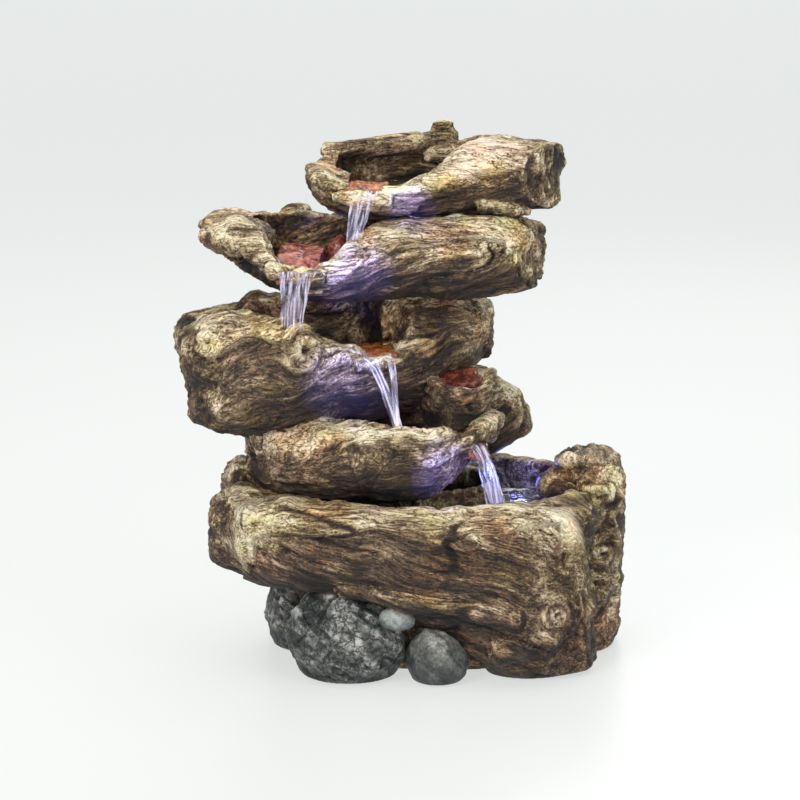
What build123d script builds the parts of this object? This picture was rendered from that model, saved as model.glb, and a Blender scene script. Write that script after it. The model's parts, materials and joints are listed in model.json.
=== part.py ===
"""Tabletop water fountain: four hollow log-shaped pools stacked over a basin, with a small pump, a riser hose
and submerged pool lights.

Frame: millimetres, +Z up, +X to the right and -Y towards the viewer. The origin is the middle of the bounding
box's bottom face, on the surface that the feet stand on.
"""

import os
from collections import namedtuple
from math import cos, radians, sin

from build123d import *

# ---------------------------------------------------------------- driving dimensions
WIDTH = 300.0
DEPTH = 192.0
HEIGHT = 355.0

WALL = 5.0  # cast shell of the logs
BOWL_FLOOR = 45.0  # top of the basin's floor
BOWL_FLOOR_THICKNESS = 6.0
SKIRT_CLEARANCE = 1.0  # the castings end this far above the surface the feet stand on

RISER_X, RISER_Y = 8.0, 12.0  # vertical axis shared by the pump outlet, the hose and the top spout
DUCT_RADIUS = 16.0  # free shaft through the logs, for the hose and the leads
HOSE_RADIUS = 6.5
HOSE_BORE = 4.5

CUT_HEIGHT = 90.0  # pockets and notches are cut upwards by this much, clear of any log
FACE_GAP = 0.3  # clearance between the access cover and its window

# ---------------------------------------------------------------- log shapes
# A log is lofted through upright cross-sections. x and y place the middle of a section, half_width is
# measured across the log, and bottom and top are heights above the table.
Station = namedtuple("Station", "x y half_width bottom top")
Log = namedtuple("Log", "yaw stations")
Pool = namedtuple("Pool", "x y half_length half_width yaw floor")
Mouth = namedtuple("Mouth", "x y width yaw reach spill inside")
Neck = namedtuple("Neck", "x y half_length half_width bottom top")

# One cross-section as shares of half width and height: full at the rim, narrower towards the keel.
OUTLINE = [
    (1.0, 0.60),
    (0.78, 0.92),
    (0.0, 1.0),
    (-0.78, 0.92),
    (-1.0, 0.60),
    (-0.70, 0.16),
    (0.0, 0.0),
    (0.70, 0.16),
]

LOG_1 = Log(
    yaw=-8,
    stations=[
        Station(-61, -12, 10, 312, 331),
        Station(-44, -8, 30, 298, 338),
        Station(-10, -6, 42, 294, 338),
        Station(30, -6, 45, 294, 343),
        Station(66, -11, 41, 298, 346),
        Station(98, -17, 31, 302, 343),
    ],
)
LOG_2 = Log(
    yaw=-5,
    stations=[
        Station(-128, -14, 17, 262, 291),
        Station(-110, -14, 36, 252, 296),
        Station(-76, -13, 51, 242, 294),
        Station(-28, -12, 55, 243, 292),
        Station(30, -12, 53, 244, 297),
        Station(68, -16, 44, 248, 297),
        Station(88, -19, 35, 252, 289),
    ],
)
LOG_3 = Log(
    yaw=27,
    stations=[
        Station(-132, -58, 38, 168, 236),
        Station(-112, -48, 44, 158, 240),
        Station(-72, -28, 49, 158, 239),
        Station(-28, -7, 50, 163, 238),
        Station(10, 10, 46, 172, 240),
        Station(42, 26, 34, 188, 238),
        Station(55, 32, 24, 198, 232),
    ],
)
LOG_4 = Log(
    yaw=8,
    stations=[
        Station(-104, -34, 14, 130, 160),
        Station(-88, -34, 34, 119, 168),
        Station(-48, -34, 48, 113, 172),
        Station(0, -30, 50, 112, 174),
        Station(34, -20, 42, 114, 167),
        Station(56, -12, 28, 122, 158),
    ],
)
STUMP_4 = Log(
    yaw=16,
    stations=[
        Station(20, 4, 28, 124, 176),
        Station(46, 9, 36, 131, 185),
        Station(68, 15, 30, 140, 178),
        Station(78, 18, 21, 147, 168),
    ],
)
FRONT_LOG = Log(
    yaw=0,
    stations=[
        Station(-124, -38, 14, 72, 108),
        Station(-106, -47, 27, 62, 119),
        Station(-60, -60, 34, 55, 119),
        Station(0, -62, 34, 38, 117),
        Station(50, -62, 34, 4, 116),
        Station(94, -56, 34, -14, 115),
        Station(123, -44, 27, -14, 108),
    ],
)
KNOB = [(330, 24, 24, 13, 12), (344, 25, 25, 11, 10), (HEIGHT, 26, 26, 8, 7)]

POOL_1 = Pool(x=4, y=-6, half_length=50, half_width=33, yaw=-8, floor=307)
POOL_2 = Pool(x=-58, y=-24, half_length=44, half_width=36, yaw=0, floor=259)
POOL_3 = Pool(x=-58, y=-34, half_length=46, half_width=27, yaw=27, floor=204)
POOL_4 = Pool(x=-8, y=-42, half_length=48, half_width=29, yaw=0, floor=144)
LEDGE_POOL = Pool(x=34, y=-30, half_length=15, half_width=15, yaw=0, floor=186)

# A mouth is a notch through a log's wall down to its pool's floor. x and y are its inner end and reach is its
# length outwards along yaw. spill is the level that the water leaves at, which is the top of its stone, and
# inside is the length of stone that lies in the pool.
MOUTH_1 = Mouth(x=-24, y=-24, width=25, yaw=-95, reach=40, spill=316, inside=4)
MOUTH_2 = Mouth(x=-68, y=-44, width=28, yaw=-92, reach=45, spill=268, inside=44)
MOUTH_3 = Mouth(x=-20, y=-28, width=23, yaw=-84, reach=55, spill=212, inside=8)
MOUTH_4 = Mouth(x=18, y=-38, width=17, yaw=-30, reach=50, spill=153, inside=4)

# A neck is an upright oval: the boss that the log above is seated on, round the riser duct.
NECK_2 = Neck(x=10, y=2, half_length=42, half_width=30, bottom=270, top=299)
NECK_3 = Neck(x=8, y=8, half_length=38, half_width=28, bottom=200, top=250)
COLUMN = Neck(x=8, y=16, half_length=56, half_width=44, bottom=113, top=176)


def log_body(log, inset=0.0, mode=Mode.ADD):
    """Lofts a log, or the same log drawn in by inset all round."""
    axis = Vector(cos(radians(log.yaw)), sin(radians(log.yaw)), 0)
    across = Vector(-axis.Y, axis.X, 0)
    last = len(log.stations) - 1
    sections = []
    for index, station in enumerate(log.stations):
        along = inset * ((index == 0) - (index == last))
        foot = Vector(station.x, station.y, station.bottom + inset) + axis * along
        half_width = station.half_width - inset
        height = station.top - station.bottom - 2 * inset
        with BuildSketch(Plane(origin=foot, x_dir=across, z_dir=axis)) as section:
            with BuildLine():
                Spline(*[(u * half_width, v * height) for u, v in OUTLINE], periodic=True)
            make_face()
        sections.append(section.sketch.face())
    loft(sections, mode=mode)


def turned_plane(x, y, z, yaw):
    """A level plane at a height, with its X axis turned by yaw."""
    return Plane(origin=(x, y, z), x_dir=(cos(radians(yaw)), sin(radians(yaw)), 0), z_dir=(0, 0, 1))


def pool_pocket(pool, outset=0.0, mode=Mode.SUBTRACT):
    """The hollow that holds a log's water, or the same hollow grown by outset."""
    with BuildSketch(turned_plane(pool.x, pool.y, pool.floor - outset, pool.yaw)) as outline:
        Ellipse(pool.half_length + outset, pool.half_width + outset)
    extrude(outline.sketch, amount=CUT_HEIGHT, mode=mode)


def mouth_block(mouth, start, length, bottom, height, outset=0.0, mode=Mode.SUBTRACT):
    """An upright-sided bar along a mouth, from start to start + length outwards."""
    with BuildSketch(turned_plane(mouth.x, mouth.y, bottom, mouth.yaw)) as outline:
        with Locations((start, 0)):
            Rectangle(length, mouth.width + 2 * outset, align=(Align.MIN, Align.CENTER))
    extrude(outline.sketch, amount=height, mode=mode)


def mouth_notch(mouth, pool, outset=0.0, mode=Mode.SUBTRACT):
    """The gap in the rim that the spill stone lies in."""
    mouth_block(mouth, 0, mouth.reach, pool.floor - outset, CUT_HEIGHT, outset, mode)


def neck_block(neck, outset=0.0, mode=Mode.ADD):
    """An upright oval block, from the neck's bottom to its top."""
    with BuildSketch(Plane.XY.offset(neck.bottom)) as outline:
        with Locations((neck.x, neck.y)):
            Ellipse(neck.half_length + outset, neck.half_width + outset)
    extrude(outline.sketch, amount=neck.top - neck.bottom, mode=mode)


def cylinder_on(plane, radius, start, end, mode=Mode.ADD):
    """A cylinder along a plane's normal, from start to end as distances from the plane."""
    with BuildSketch(plane.offset(start)) as outline:
        Circle(radius)
    extrude(outline.sketch, amount=end - start, mode=mode)


def upright_cylinder(x, y, radius, bottom, top, mode=Mode.ADD):
    """A vertical cylinder between two heights."""
    cylinder_on(Plane(origin=(x, y, 0)), radius, bottom, top, mode)


def block(x_span, y_span, z_span, mode=Mode.ADD):
    """A rectangular block between pairs of coordinates."""
    with BuildSketch(Plane.XY.offset(z_span[0])) as outline:
        with Locations(((x_span[0] + x_span[1]) / 2, (y_span[0] + y_span[1]) / 2)):
            Rectangle(x_span[1] - x_span[0], y_span[1] - y_span[0])
    extrude(outline.sketch, amount=z_span[1] - z_span[0], mode=mode)


def oval_loft(levels, mode=Mode.ADD):
    """Lofts level ovals, each (height, x, y, half length, half width)."""
    sections = []
    for height, x, y, half_length, half_width in levels:
        with BuildSketch(Plane.XY.offset(height)) as section:
            with Locations((x, y)):
                Ellipse(half_length, half_width)
        sections.append(section.sketch.face())
    loft(sections, mode=mode)


def largest(builder):
    """The biggest solid of a build, so that slivers cut loose by a neighbour are dropped."""
    return builder.part.solids().sort_by(SortBy.VOLUME)[-1]


def finish(shape, name):
    """Labels a finished piece and writes its file."""
    shape.label = name
    export_step(shape, f"parts/{name}.step")


os.makedirs("parts", exist_ok=True)

# ---------------------------------------------------------------- pool lights
LIGHT_RADIUS = 7.5
LIGHT_WALL = 1.5
LIGHT_FLANGE = 9.5
LIGHT_FLANGE_HEIGHT = 1.5
LIGHT_DEPTH = 7.0  # of the cup below the pool's floor
LENS_DOME = 3.0
BOARD_THICKNESS = 1.6
BOARD_RISE = 3.2  # of the board above the cup's floor, where the lead comes in
DIODE_RADIUS, DIODE_OFFSET, DIODE_HEIGHT = 1.5, 2.2, 1.0
LEAD_RADIUS = 1.2
LEAD_HOLE_RADIUS = 2.0
LEAD_LEVEL = 5.0  # of a lead's axis below the flange

# Each light by x, y and the level its flange rests on.
Light = namedtuple("Light", "x y floor")
LIGHTS = {
    "second": Light(-40, -24, POOL_2.floor),
    "third": Light(-66, -50, POOL_3.floor),
    "fourth": Light(-10, -46, POOL_4.floor),
    "basin": Light(66, -40, BOWL_FLOOR + LIGHT_DEPTH),
}

# Leads drop down the riser duct on a circle round the hose, each at its own angle.
LEAD_CIRCLE = 12.0
LEAD_ANGLES = {"second": 212, "third": 190, "fourth": 234, "basin": -50}
LEAD_BEND = 6.0
COLLAR_BOTTOM, COLLAR_TOP = 104.0, 116.0
COLLAR_RADIUS = 15.0


def lead_drop(name):
    """Where a light's lead runs up or down beside the hose."""
    angle = radians(LEAD_ANGLES[name])
    return RISER_X + LEAD_CIRCLE * cos(angle), RISER_Y + LEAD_CIRCLE * sin(angle)


def light_seat(name):
    """Cuts a light's hole through its pool's floor, and its lead's way from there to the duct."""
    light = LIGHTS[name]
    cup_bottom = light.floor - LIGHT_DEPTH
    upright_cylinder(light.x, light.y, LIGHT_RADIUS, cup_bottom, light.floor + 1, Mode.SUBTRACT)
    start = Vector(light.x, light.y, light.floor - LEAD_LEVEL)
    run = Vector(*lead_drop(name), light.floor - LEAD_LEVEL) - start
    cylinder_on(Plane(origin=start, z_dir=run), LEAD_HOLE_RADIUS, 0, run.length, Mode.SUBTRACT)


# ---------------------------------------------------------------- basin
BOWL_OUTSIDE = [
    (SKIRT_CLEARANCE, 26, 9, 92, 70),
    (38, 24, 8, 100, 77),
    (74, 12, 6, 118, 87),
    (113, 8, 5, 121, 91),
]
BOWL_INSIDE = [
    (BOWL_FLOOR, 16, 8, 92, 70),
    (74, 12, 6, 109, 78),
    (118, 8, 5, 112, 82),
]
BOWL_UNDERSIDE = [
    (-2, 26, 9, 84, 62),
    (BOWL_FLOOR - BOWL_FLOOR_THICKNESS, 24, 8, 91, 68),
]
FOOT_RADIUS = 8.0
FOOT_THICKNESS = 3.0
FOOT_BOSS_RADIUS = 11.0
FEET = [(26 + side * 50, 9 + end * 34) for side in (-1, 1) for end in (-1, 1)]

GROMMET_X, GROMMET_Z = 30.0, 98.0
GROMMET_HOLE = 5.0
GROMMET_BORE = 3.0
GROMMET_LIP = 1.8
GROMMET_START, GROMMET_END = 81.0, 95.9

grommet_plane = Plane(origin=(GROMMET_X, 0, GROMMET_Z), z_dir=(0, 1, 0))

with BuildPart() as bowl_solid:
    oval_loft(BOWL_OUTSIDE)

with BuildPart() as bowl_hollow:
    oval_loft(BOWL_INSIDE)

with BuildPart() as basin_bowl:
    add(bowl_solid.part)
    add(bowl_hollow.part, mode=Mode.SUBTRACT)
    oval_loft(BOWL_UNDERSIDE, mode=Mode.SUBTRACT)
    for foot_x, foot_y in FEET:
        upright_cylinder(foot_x, foot_y, FOOT_BOSS_RADIUS, FOOT_THICKNESS, BOWL_FLOOR - 1)
    cylinder_on(grommet_plane, GROMMET_HOLE, 60, DEPTH, Mode.SUBTRACT)
finish(basin_bowl.part, "basin_bowl")

with BuildPart() as foot_pads:
    for foot_x, foot_y in FEET:
        upright_cylinder(foot_x, foot_y, FOOT_RADIUS, 0, FOOT_THICKNESS)
finish(foot_pads.part, "foot_pads")

with BuildPart() as cord_grommet:
    cylinder_on(grommet_plane, GROMMET_HOLE + GROMMET_LIP, GROMMET_START, GROMMET_END)
    add(basin_bowl.part, mode=Mode.SUBTRACT)
    cylinder_on(grommet_plane, GROMMET_BORE, 70, DEPTH, Mode.SUBTRACT)
finish(largest(cord_grommet), "cord_grommet")

with BuildPart() as front_log:
    log_body(FRONT_LOG)
    block((-WIDTH, WIDTH), (-DEPTH, DEPTH), (-HEIGHT, SKIRT_CLEARANCE), Mode.SUBTRACT)
    add(bowl_solid.part, mode=Mode.SUBTRACT)
    add(bowl_hollow.part, mode=Mode.SUBTRACT)
front_log_solid = largest(front_log)
finish(front_log_solid, "basin_front_log")

with BuildPart() as right_stump:
    oval_loft(
        [
            (SKIRT_CLEARANCE, 120, 10, 24, 34),
            (50, 123, 12, 26, 37),
            (96, 123, 13, 27, 37),
            (129, 124, 15, 20, 27),
        ]
    )
    for neighbour in (bowl_solid.part, bowl_hollow.part, front_log_solid):
        add(neighbour, mode=Mode.SUBTRACT)
right_stump_solid = largest(right_stump)
finish(right_stump_solid, "basin_right_stump")

with BuildPart() as left_stump:
    oval_loft(
        [
            (66, -100, -6, 14, 30),
            (96, -107, -7, 17, 33),
            (122, -105, -6, 16, 28),
            (131, -105, -6, 12, 20),
        ]
    )
    for neighbour in (bowl_solid.part, bowl_hollow.part, front_log_solid):
        add(neighbour, mode=Mode.SUBTRACT)
left_stump_solid = largest(left_stump)
finish(left_stump_solid, "basin_left_stump")

# ---------------------------------------------------------------- rocks round the foot of the basin
# Each rock by its middle, half length, half width, bottom and height. It swells above the ground and then
# closes in.
Rock = namedtuple("Rock", "x y half_length half_width bottom height")
ROCKS = {
    "rock_large": Rock(-37, -60, 39, 35, SKIRT_CLEARANCE, 63),
    "rock_round": Rock(21, -75, 20, 20.5, SKIRT_CLEARANCE, 38),
    "rock_pebble": Rock(-6, -84, 12, 10, 30, 22),
    "rock_left": Rock(-70, 8, 26, 36, SKIRT_CLEARANCE, 58),
}
ROCK_SWELL = [(0.0, 0.80), (0.32, 1.0), (0.68, 0.84), (0.92, 0.46), (1.0, 0.18)]

neighbours = [bowl_solid.part, front_log_solid]
for rock_name, rock in ROCKS.items():
    with BuildPart() as boulder:
        oval_loft(
            [
                (rock.bottom + share * rock.height, rock.x, rock.y, rock.half_length * s, rock.half_width * s)
                for share, s in ROCK_SWELL
            ]
        )
        for neighbour in neighbours:
            add(neighbour, mode=Mode.SUBTRACT)
    rock_solid = largest(boulder)
    neighbours.append(rock_solid)
    finish(rock_solid, rock_name)

# ---------------------------------------------------------------- pedestal that carries the logs
COLUMN_WALL = 6.0
ARCH_WIDTH = 26.0
ARCH_HEIGHT = 20.0
ARCH_YAWS = (-56, 90, 205)
COLUMN_HOLLOW = COLUMN._replace(
    half_length=COLUMN.half_length - COLUMN_WALL, half_width=COLUMN.half_width - COLUMN_WALL
)

with BuildPart() as pedestal:
    neck_block(COLUMN._replace(bottom=BOWL_FLOOR, top=COLUMN.bottom))
    neck_block(COLUMN_HOLLOW._replace(bottom=BOWL_FLOOR, top=COLUMN.bottom), mode=Mode.SUBTRACT)
    for arch_yaw in ARCH_YAWS:
        with BuildSketch(turned_plane(COLUMN.x, COLUMN.y, BOWL_FLOOR, arch_yaw)) as arch:
            Rectangle(COLUMN.half_length + 10, ARCH_WIDTH, align=(Align.MIN, Align.CENTER))
        extrude(arch.sketch, amount=ARCH_HEIGHT, mode=Mode.SUBTRACT)
finish(pedestal.part, "pump_pedestal")

# ---------------------------------------------------------------- fourth log and the column behind it
WINDOW_WIDTH = 56.0
WINDOW_BOTTOM = 121.0
WINDOW_TOP = 163.0
COVER_LIP = 4.0
COVER_LIP_THICKNESS = 3.0

with BuildPart() as fourth_solid:
    log_body(LOG_4)
    neck_block(COLUMN)
    pool_pocket(POOL_4)
    mouth_notch(MOUTH_4, POOL_4)
    for neighbour in (bowl_solid.part, front_log_solid, left_stump_solid):
        add(neighbour, mode=Mode.SUBTRACT)

with BuildPart() as chamber_4:
    neck_block(COLUMN_HOLLOW._replace(bottom=COLUMN.bottom - 4, top=COLUMN.top - COLUMN_WALL))
    log_body(LOG_4, inset=WALL + 1)
    pool_pocket(POOL_4, outset=WALL)
    mouth_notch(MOUTH_4, POOL_4, outset=WALL)

with BuildPart() as fourth_log:
    add(fourth_solid.part)
    add(chamber_4.part, mode=Mode.SUBTRACT)
    upright_cylinder(RISER_X, RISER_Y, DUCT_RADIUS, COLUMN.top - 20, COLUMN.top + 10, Mode.SUBTRACT)
    light_seat("fourth")
    block(
        (COLUMN.x - WINDOW_WIDTH / 2, COLUMN.x + WINDOW_WIDTH / 2),
        (COLUMN.y + 20, COLUMN.y + COLUMN.half_width + 10),
        (WINDOW_BOTTOM, WINDOW_TOP),
        Mode.SUBTRACT,
    )
fourth_log_solid = largest(fourth_log)
finish(fourth_log_solid, "fourth_log")

with BuildPart() as access_cover:
    neck_block(COLUMN._replace(bottom=WINDOW_BOTTOM + FACE_GAP, top=WINDOW_TOP - FACE_GAP))
    neck_block(COLUMN_HOLLOW, mode=Mode.SUBTRACT)
    block(
        (COLUMN.x - WINDOW_WIDTH / 2 + FACE_GAP, COLUMN.x + WINDOW_WIDTH / 2 - FACE_GAP),
        (COLUMN.y + 10, COLUMN.y + COLUMN.half_width + 10),
        (WINDOW_BOTTOM, WINDOW_TOP),
        Mode.INTERSECT,
    )
    with BuildPart(mode=Mode.PRIVATE) as lip:
        lip_neck = COLUMN._replace(bottom=WINDOW_BOTTOM - COVER_LIP, top=WINDOW_TOP + COVER_LIP)
        neck_block(lip_neck, outset=COVER_LIP_THICKNESS)
        neck_block(lip_neck, mode=Mode.SUBTRACT)
        block(
            (COLUMN.x - WINDOW_WIDTH / 2 - COVER_LIP, COLUMN.x + WINDOW_WIDTH / 2 + COVER_LIP),
            (COLUMN.y + 10, COLUMN.y + COLUMN.half_width + 10),
            (WINDOW_BOTTOM - COVER_LIP, WINDOW_TOP + COVER_LIP),
            Mode.INTERSECT,
        )
    add(lip.part)
finish(access_cover.part, "access_cover")

with BuildPart() as fourth_stump:
    log_body(STUMP_4)
    add(fourth_solid.part, mode=Mode.SUBTRACT)
    pool_pocket(POOL_4)
    mouth_notch(MOUTH_4, POOL_4)
fourth_stump_solid = largest(fourth_stump)
finish(fourth_stump_solid, "fourth_stump")

# ---------------------------------------------------------------- third log and the ledge under its right end
with BuildPart() as third_solid:
    log_body(LOG_3)
    neck_block(NECK_3)
    pool_pocket(POOL_3)
    mouth_notch(MOUTH_3, POOL_3)
    add(fourth_solid.part, mode=Mode.SUBTRACT)
    add(fourth_stump_solid, mode=Mode.SUBTRACT)

with BuildPart() as chamber_3:
    log_body(LOG_3, inset=WALL + 1)
    neck_block(NECK_3, outset=-WALL)
    pool_pocket(POOL_3, outset=WALL)
    mouth_notch(MOUTH_3, POOL_3, outset=WALL)
    block((-WIDTH, WIDTH), (-DEPTH, DEPTH), (COLUMN.top - 40, COLUMN.top + WALL), Mode.SUBTRACT)

with BuildPart() as third_log:
    add(third_solid.part)
    add(chamber_3.part, mode=Mode.SUBTRACT)
    upright_cylinder(RISER_X, RISER_Y, DUCT_RADIUS, COLUMN.top - 30, NECK_3.top + 10, Mode.SUBTRACT)
    light_seat("third")
third_log_solid = largest(third_log)
finish(third_log_solid, "third_log")

with BuildPart() as side_ledge:
    oval_loft(
        [
            (158, 32, -22, 17, 20),
            (178, 34, -27, 24, 25),
            (197, 36, -29, 22, 24),
        ]
    )
    pool_pocket(LEDGE_POOL)
    for neighbour in (fourth_solid.part, fourth_stump_solid, third_solid.part):
        add(neighbour, mode=Mode.SUBTRACT)
side_ledge_solid = largest(side_ledge)
finish(side_ledge_solid, "side_ledge")

# ---------------------------------------------------------------- second log
with BuildPart() as second_solid:
    log_body(LOG_2)
    neck_block(NECK_2)
    pool_pocket(POOL_2)
    mouth_notch(MOUTH_2, POOL_2)
    add(third_solid.part, mode=Mode.SUBTRACT)

with BuildPart() as chamber_2:
    log_body(LOG_2, inset=WALL + 2)
    neck_block(NECK_2, outset=3, mode=Mode.SUBTRACT)
    pool_pocket(POOL_2, outset=WALL)
    mouth_notch(MOUTH_2, POOL_2, outset=WALL)

with BuildPart() as second_log:
    add(second_solid.part)
    add(chamber_2.part, mode=Mode.SUBTRACT)
    upright_cylinder(RISER_X, RISER_Y, DUCT_RADIUS, NECK_3.top - 30, NECK_2.top + 10, Mode.SUBTRACT)
    light_seat("second")
second_log_solid = largest(second_log)
finish(second_log_solid, "second_log")

# ---------------------------------------------------------------- first log, with the knob on its back rim
SPOUT_HOLE = 9.0
SPOUT_SHOULDER = 299.0  # the duct ends here and the spout's hole goes on up to the pool's floor

with BuildPart() as first_log:
    log_body(LOG_1)
    pool_pocket(POOL_1)
    mouth_notch(MOUTH_1, POOL_1)
    oval_loft(KNOB)
    add(second_solid.part, mode=Mode.SUBTRACT)
    upright_cylinder(RISER_X, RISER_Y, DUCT_RADIUS, NECK_2.top - 20, SPOUT_SHOULDER, Mode.SUBTRACT)
    upright_cylinder(RISER_X, RISER_Y, SPOUT_HOLE, SPOUT_SHOULDER - 1, POOL_1.floor + 1, Mode.SUBTRACT)
first_log_solid = largest(first_log)
finish(first_log_solid, "first_log")

# ---------------------------------------------------------------- stones and water fittings
POOLS_AND_MOUTHS = [(POOL_1, MOUTH_1), (POOL_2, MOUTH_2), (POOL_3, MOUTH_3), (POOL_4, MOUTH_4)]
LOG_SOLIDS = [first_log_solid, second_solid.part, third_solid.part, fourth_solid.part]
LOG_SHAPES = [LOG_1, LOG_2, LOG_3, LOG_4]
LIP_OVERHANG = 1.5  # how far a spill stone reaches past the log's outer face

for number, (pool, mouth) in enumerate(POOLS_AND_MOUTHS):
    with BuildPart() as spill_stone:
        log_body(LOG_SHAPES[number], inset=-LIP_OVERHANG)
        with BuildPart(mode=Mode.PRIVATE) as bar:
            stone_length = mouth.inside + mouth.reach
            mouth_block(mouth, -mouth.inside, stone_length, pool.floor, mouth.spill - pool.floor, 0, Mode.ADD)
        add(bar.part, mode=Mode.INTERSECT)
        add(LOG_SOLIDS[number], mode=Mode.SUBTRACT)
    finish(largest(spill_stone), f"spill_stone_{number + 1}")

with BuildPart() as ledge_stone:
    with BuildSketch(Plane.XY.offset(LEDGE_POOL.floor)) as outline:
        with Locations((LEDGE_POOL.x, LEDGE_POOL.y)):
            Ellipse(LEDGE_POOL.half_length, LEDGE_POOL.half_width)
    extrude(outline.sketch, amount=6)
    add(third_solid.part, mode=Mode.SUBTRACT)
    add(fourth_stump_solid, mode=Mode.SUBTRACT)
finish(largest(ledge_stone), "ledge_stone")

with BuildPart() as pool_stone:
    oval_loft(
        [
            (POOL_2.floor, -44, -3, 6, 6),
            (POOL_2.floor + 12, -44, -3, 8, 7.5),
            (POOL_2.floor + 21, -43, -2, 5.5, 5),
            (POOL_2.floor + 24, -43, -2, 2.5, 2.2),
        ]
    )
finish(pool_stone.part, "pool_stone")

SPOUT_FLANGE = 12.0
SPOUT_DOME = 8.0
SPOUT_BORE = 3.3
HOSE_BOTTOM, HOSE_TOP = 90.0, 297.0
BARB_LENGTH = 9.0

with BuildPart() as riser_spout:
    upright_cylinder(RISER_X, RISER_Y, HOSE_BORE, HOSE_TOP - BARB_LENGTH, HOSE_TOP)
    upright_cylinder(RISER_X, RISER_Y, SPOUT_HOLE, HOSE_TOP, POOL_1.floor)
    upright_cylinder(RISER_X, RISER_Y, SPOUT_FLANGE, POOL_1.floor, POOL_1.floor + 2)
    upright_cylinder(RISER_X, RISER_Y, SPOUT_DOME, POOL_1.floor + 2, POOL_1.floor + 8)
    fillet(edges().sort_by(Axis.Z)[-1], 2.5)
    upright_cylinder(RISER_X, RISER_Y, SPOUT_BORE, HOSE_TOP - BARB_LENGTH, POOL_1.floor + 8, Mode.SUBTRACT)
finish(riser_spout.part, "riser_spout")

with BuildPart() as riser_hose:
    upright_cylinder(RISER_X, RISER_Y, HOSE_RADIUS, HOSE_BOTTOM, HOSE_TOP)
    upright_cylinder(RISER_X, RISER_Y, HOSE_BORE, HOSE_BOTTOM, HOSE_TOP, Mode.SUBTRACT)
finish(riser_hose.part, "riser_hose")

# ---------------------------------------------------------------- light pods, leads and their collar
LEAD_START = LIGHT_RADIUS - LIGHT_WALL - 1.0  # a lead ends inside its pod, against the board
LEAD_PARK = (20.0, -16.0)  # where the basin's lead climbs beside the pump


def lead_corners(name):
    """The corners of a light's lead, from its pod to the collar round the hose."""
    light = LIGHTS[name]
    drop_x, drop_y = lead_drop(name)
    level = light.floor - LEAD_LEVEL
    turn_x, turn_y = LEAD_PARK if name == "basin" else (drop_x, drop_y)
    run = (Vector(turn_x, turn_y, 0) - Vector(light.x, light.y, 0)).normalized()
    corners = [(light.x + run.X * LEAD_START, light.y + run.Y * LEAD_START, level), (turn_x, turn_y, level)]
    if name == "basin":
        return corners + [(turn_x, turn_y, 84), (drop_x, drop_y, COLLAR_BOTTOM)]
    return corners + [(drop_x, drop_y, COLLAR_TOP)]


leads = []
for name, light in LIGHTS.items():
    corners = lead_corners(name)
    with BuildPart() as lead:
        with BuildLine() as path:
            FilletPolyline(*corners, radius=LEAD_BEND)
        with BuildSketch(Plane(origin=path.line @ 0, z_dir=path.line % 0)) as wire:
            Circle(LEAD_RADIUS)
        sweep(wire.sketch, path=path.line)
    leads.append(lead.part)
    finish(lead.part, f"light_lead_{name}")

    cup_bottom = light.floor - LIGHT_DEPTH
    cup_top = light.floor + LIGHT_FLANGE_HEIGHT
    board_level = cup_bottom + LIGHT_WALL + BOARD_RISE
    lens_bottom = board_level + BOARD_THICKNESS + DIODE_HEIGHT
    with BuildPart() as light_housing:
        upright_cylinder(light.x, light.y, LIGHT_RADIUS, cup_bottom, light.floor)
        upright_cylinder(light.x, light.y, LIGHT_FLANGE, light.floor, cup_top)
        cup_bore = LIGHT_RADIUS - LIGHT_WALL
        upright_cylinder(light.x, light.y, cup_bore, cup_bottom + LIGHT_WALL, cup_top, Mode.SUBTRACT)
        add(lead.part, mode=Mode.SUBTRACT)
    finish(light_housing.part, f"light_housing_{name}")

    with BuildPart() as light_board:
        upright_cylinder(light.x, light.y, cup_bore, board_level, board_level + BOARD_THICKNESS)
        for side in (-1, 1):
            upright_cylinder(light.x + side * DIODE_OFFSET, light.y, DIODE_RADIUS, board_level, lens_bottom)
        add(lead.part, mode=Mode.SUBTRACT)
    finish(largest(light_board), f"light_board_{name}")

    with BuildPart() as light_lens:
        upright_cylinder(light.x, light.y, cup_bore, lens_bottom, cup_top)
        upright_cylinder(light.x, light.y, cup_bore, cup_top, cup_top + LENS_DOME)
        fillet(light_lens.edges().sort_by(Axis.Z)[-1], LENS_DOME - 0.5)
    finish(light_lens.part, f"light_lens_{name}")

with BuildPart() as light_collar:
    upright_cylinder(RISER_X, RISER_Y, COLLAR_RADIUS, COLLAR_BOTTOM, COLLAR_TOP)
    chamfer(light_collar.edges(), 1)
    upright_cylinder(RISER_X, RISER_Y, HOSE_RADIUS, COLLAR_BOTTOM, COLLAR_TOP, Mode.SUBTRACT)
    for lead_part in leads:
        add(lead_part, mode=Mode.SUBTRACT)
finish(light_collar.part, "light_collar")

# ---------------------------------------------------------------- pump, with its shaft along X
PUMP_Y, PUMP_Z = RISER_Y, 64.0
PUMP_HALF_WIDTH, PUMP_HALF_HEIGHT = 17.0, 16.0
MOTOR_LEFT, MOTOR_RIGHT = -26.0, 2.0
VOLUTE_RIGHT = 14.0
VOLUTE_RADIUS, VOLUTE_BORE = 16.0, 12.0
COVER_RIGHT = 16.0
STRAINER_RIGHT = 32.0
STRAINER_WALL = 2.0
STRAINER_INSIDE = STRAINER_RIGHT - STRAINER_WALL
WELL_RADIUS, WELL_LEFT = 6.5, -22.0
ROTOR_RADIUS = 5.8
SHAFT_RADIUS = 1.2
BUSHING_RADIUS = 3.0
OUTLET_RADIUS = 7.0  # of the nozzle's shoulder
OUTLET_TUBE_RADIUS, OUTLET_TUBE_BORE = 5.9, 4.1
OUTLET_TOP = 88.0
INLET_RADIUS = 6.0
RUNNING_CLEARANCE = 0.05
COIL_LEFT, COIL_RIGHT = -21.0, -4.0
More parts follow.
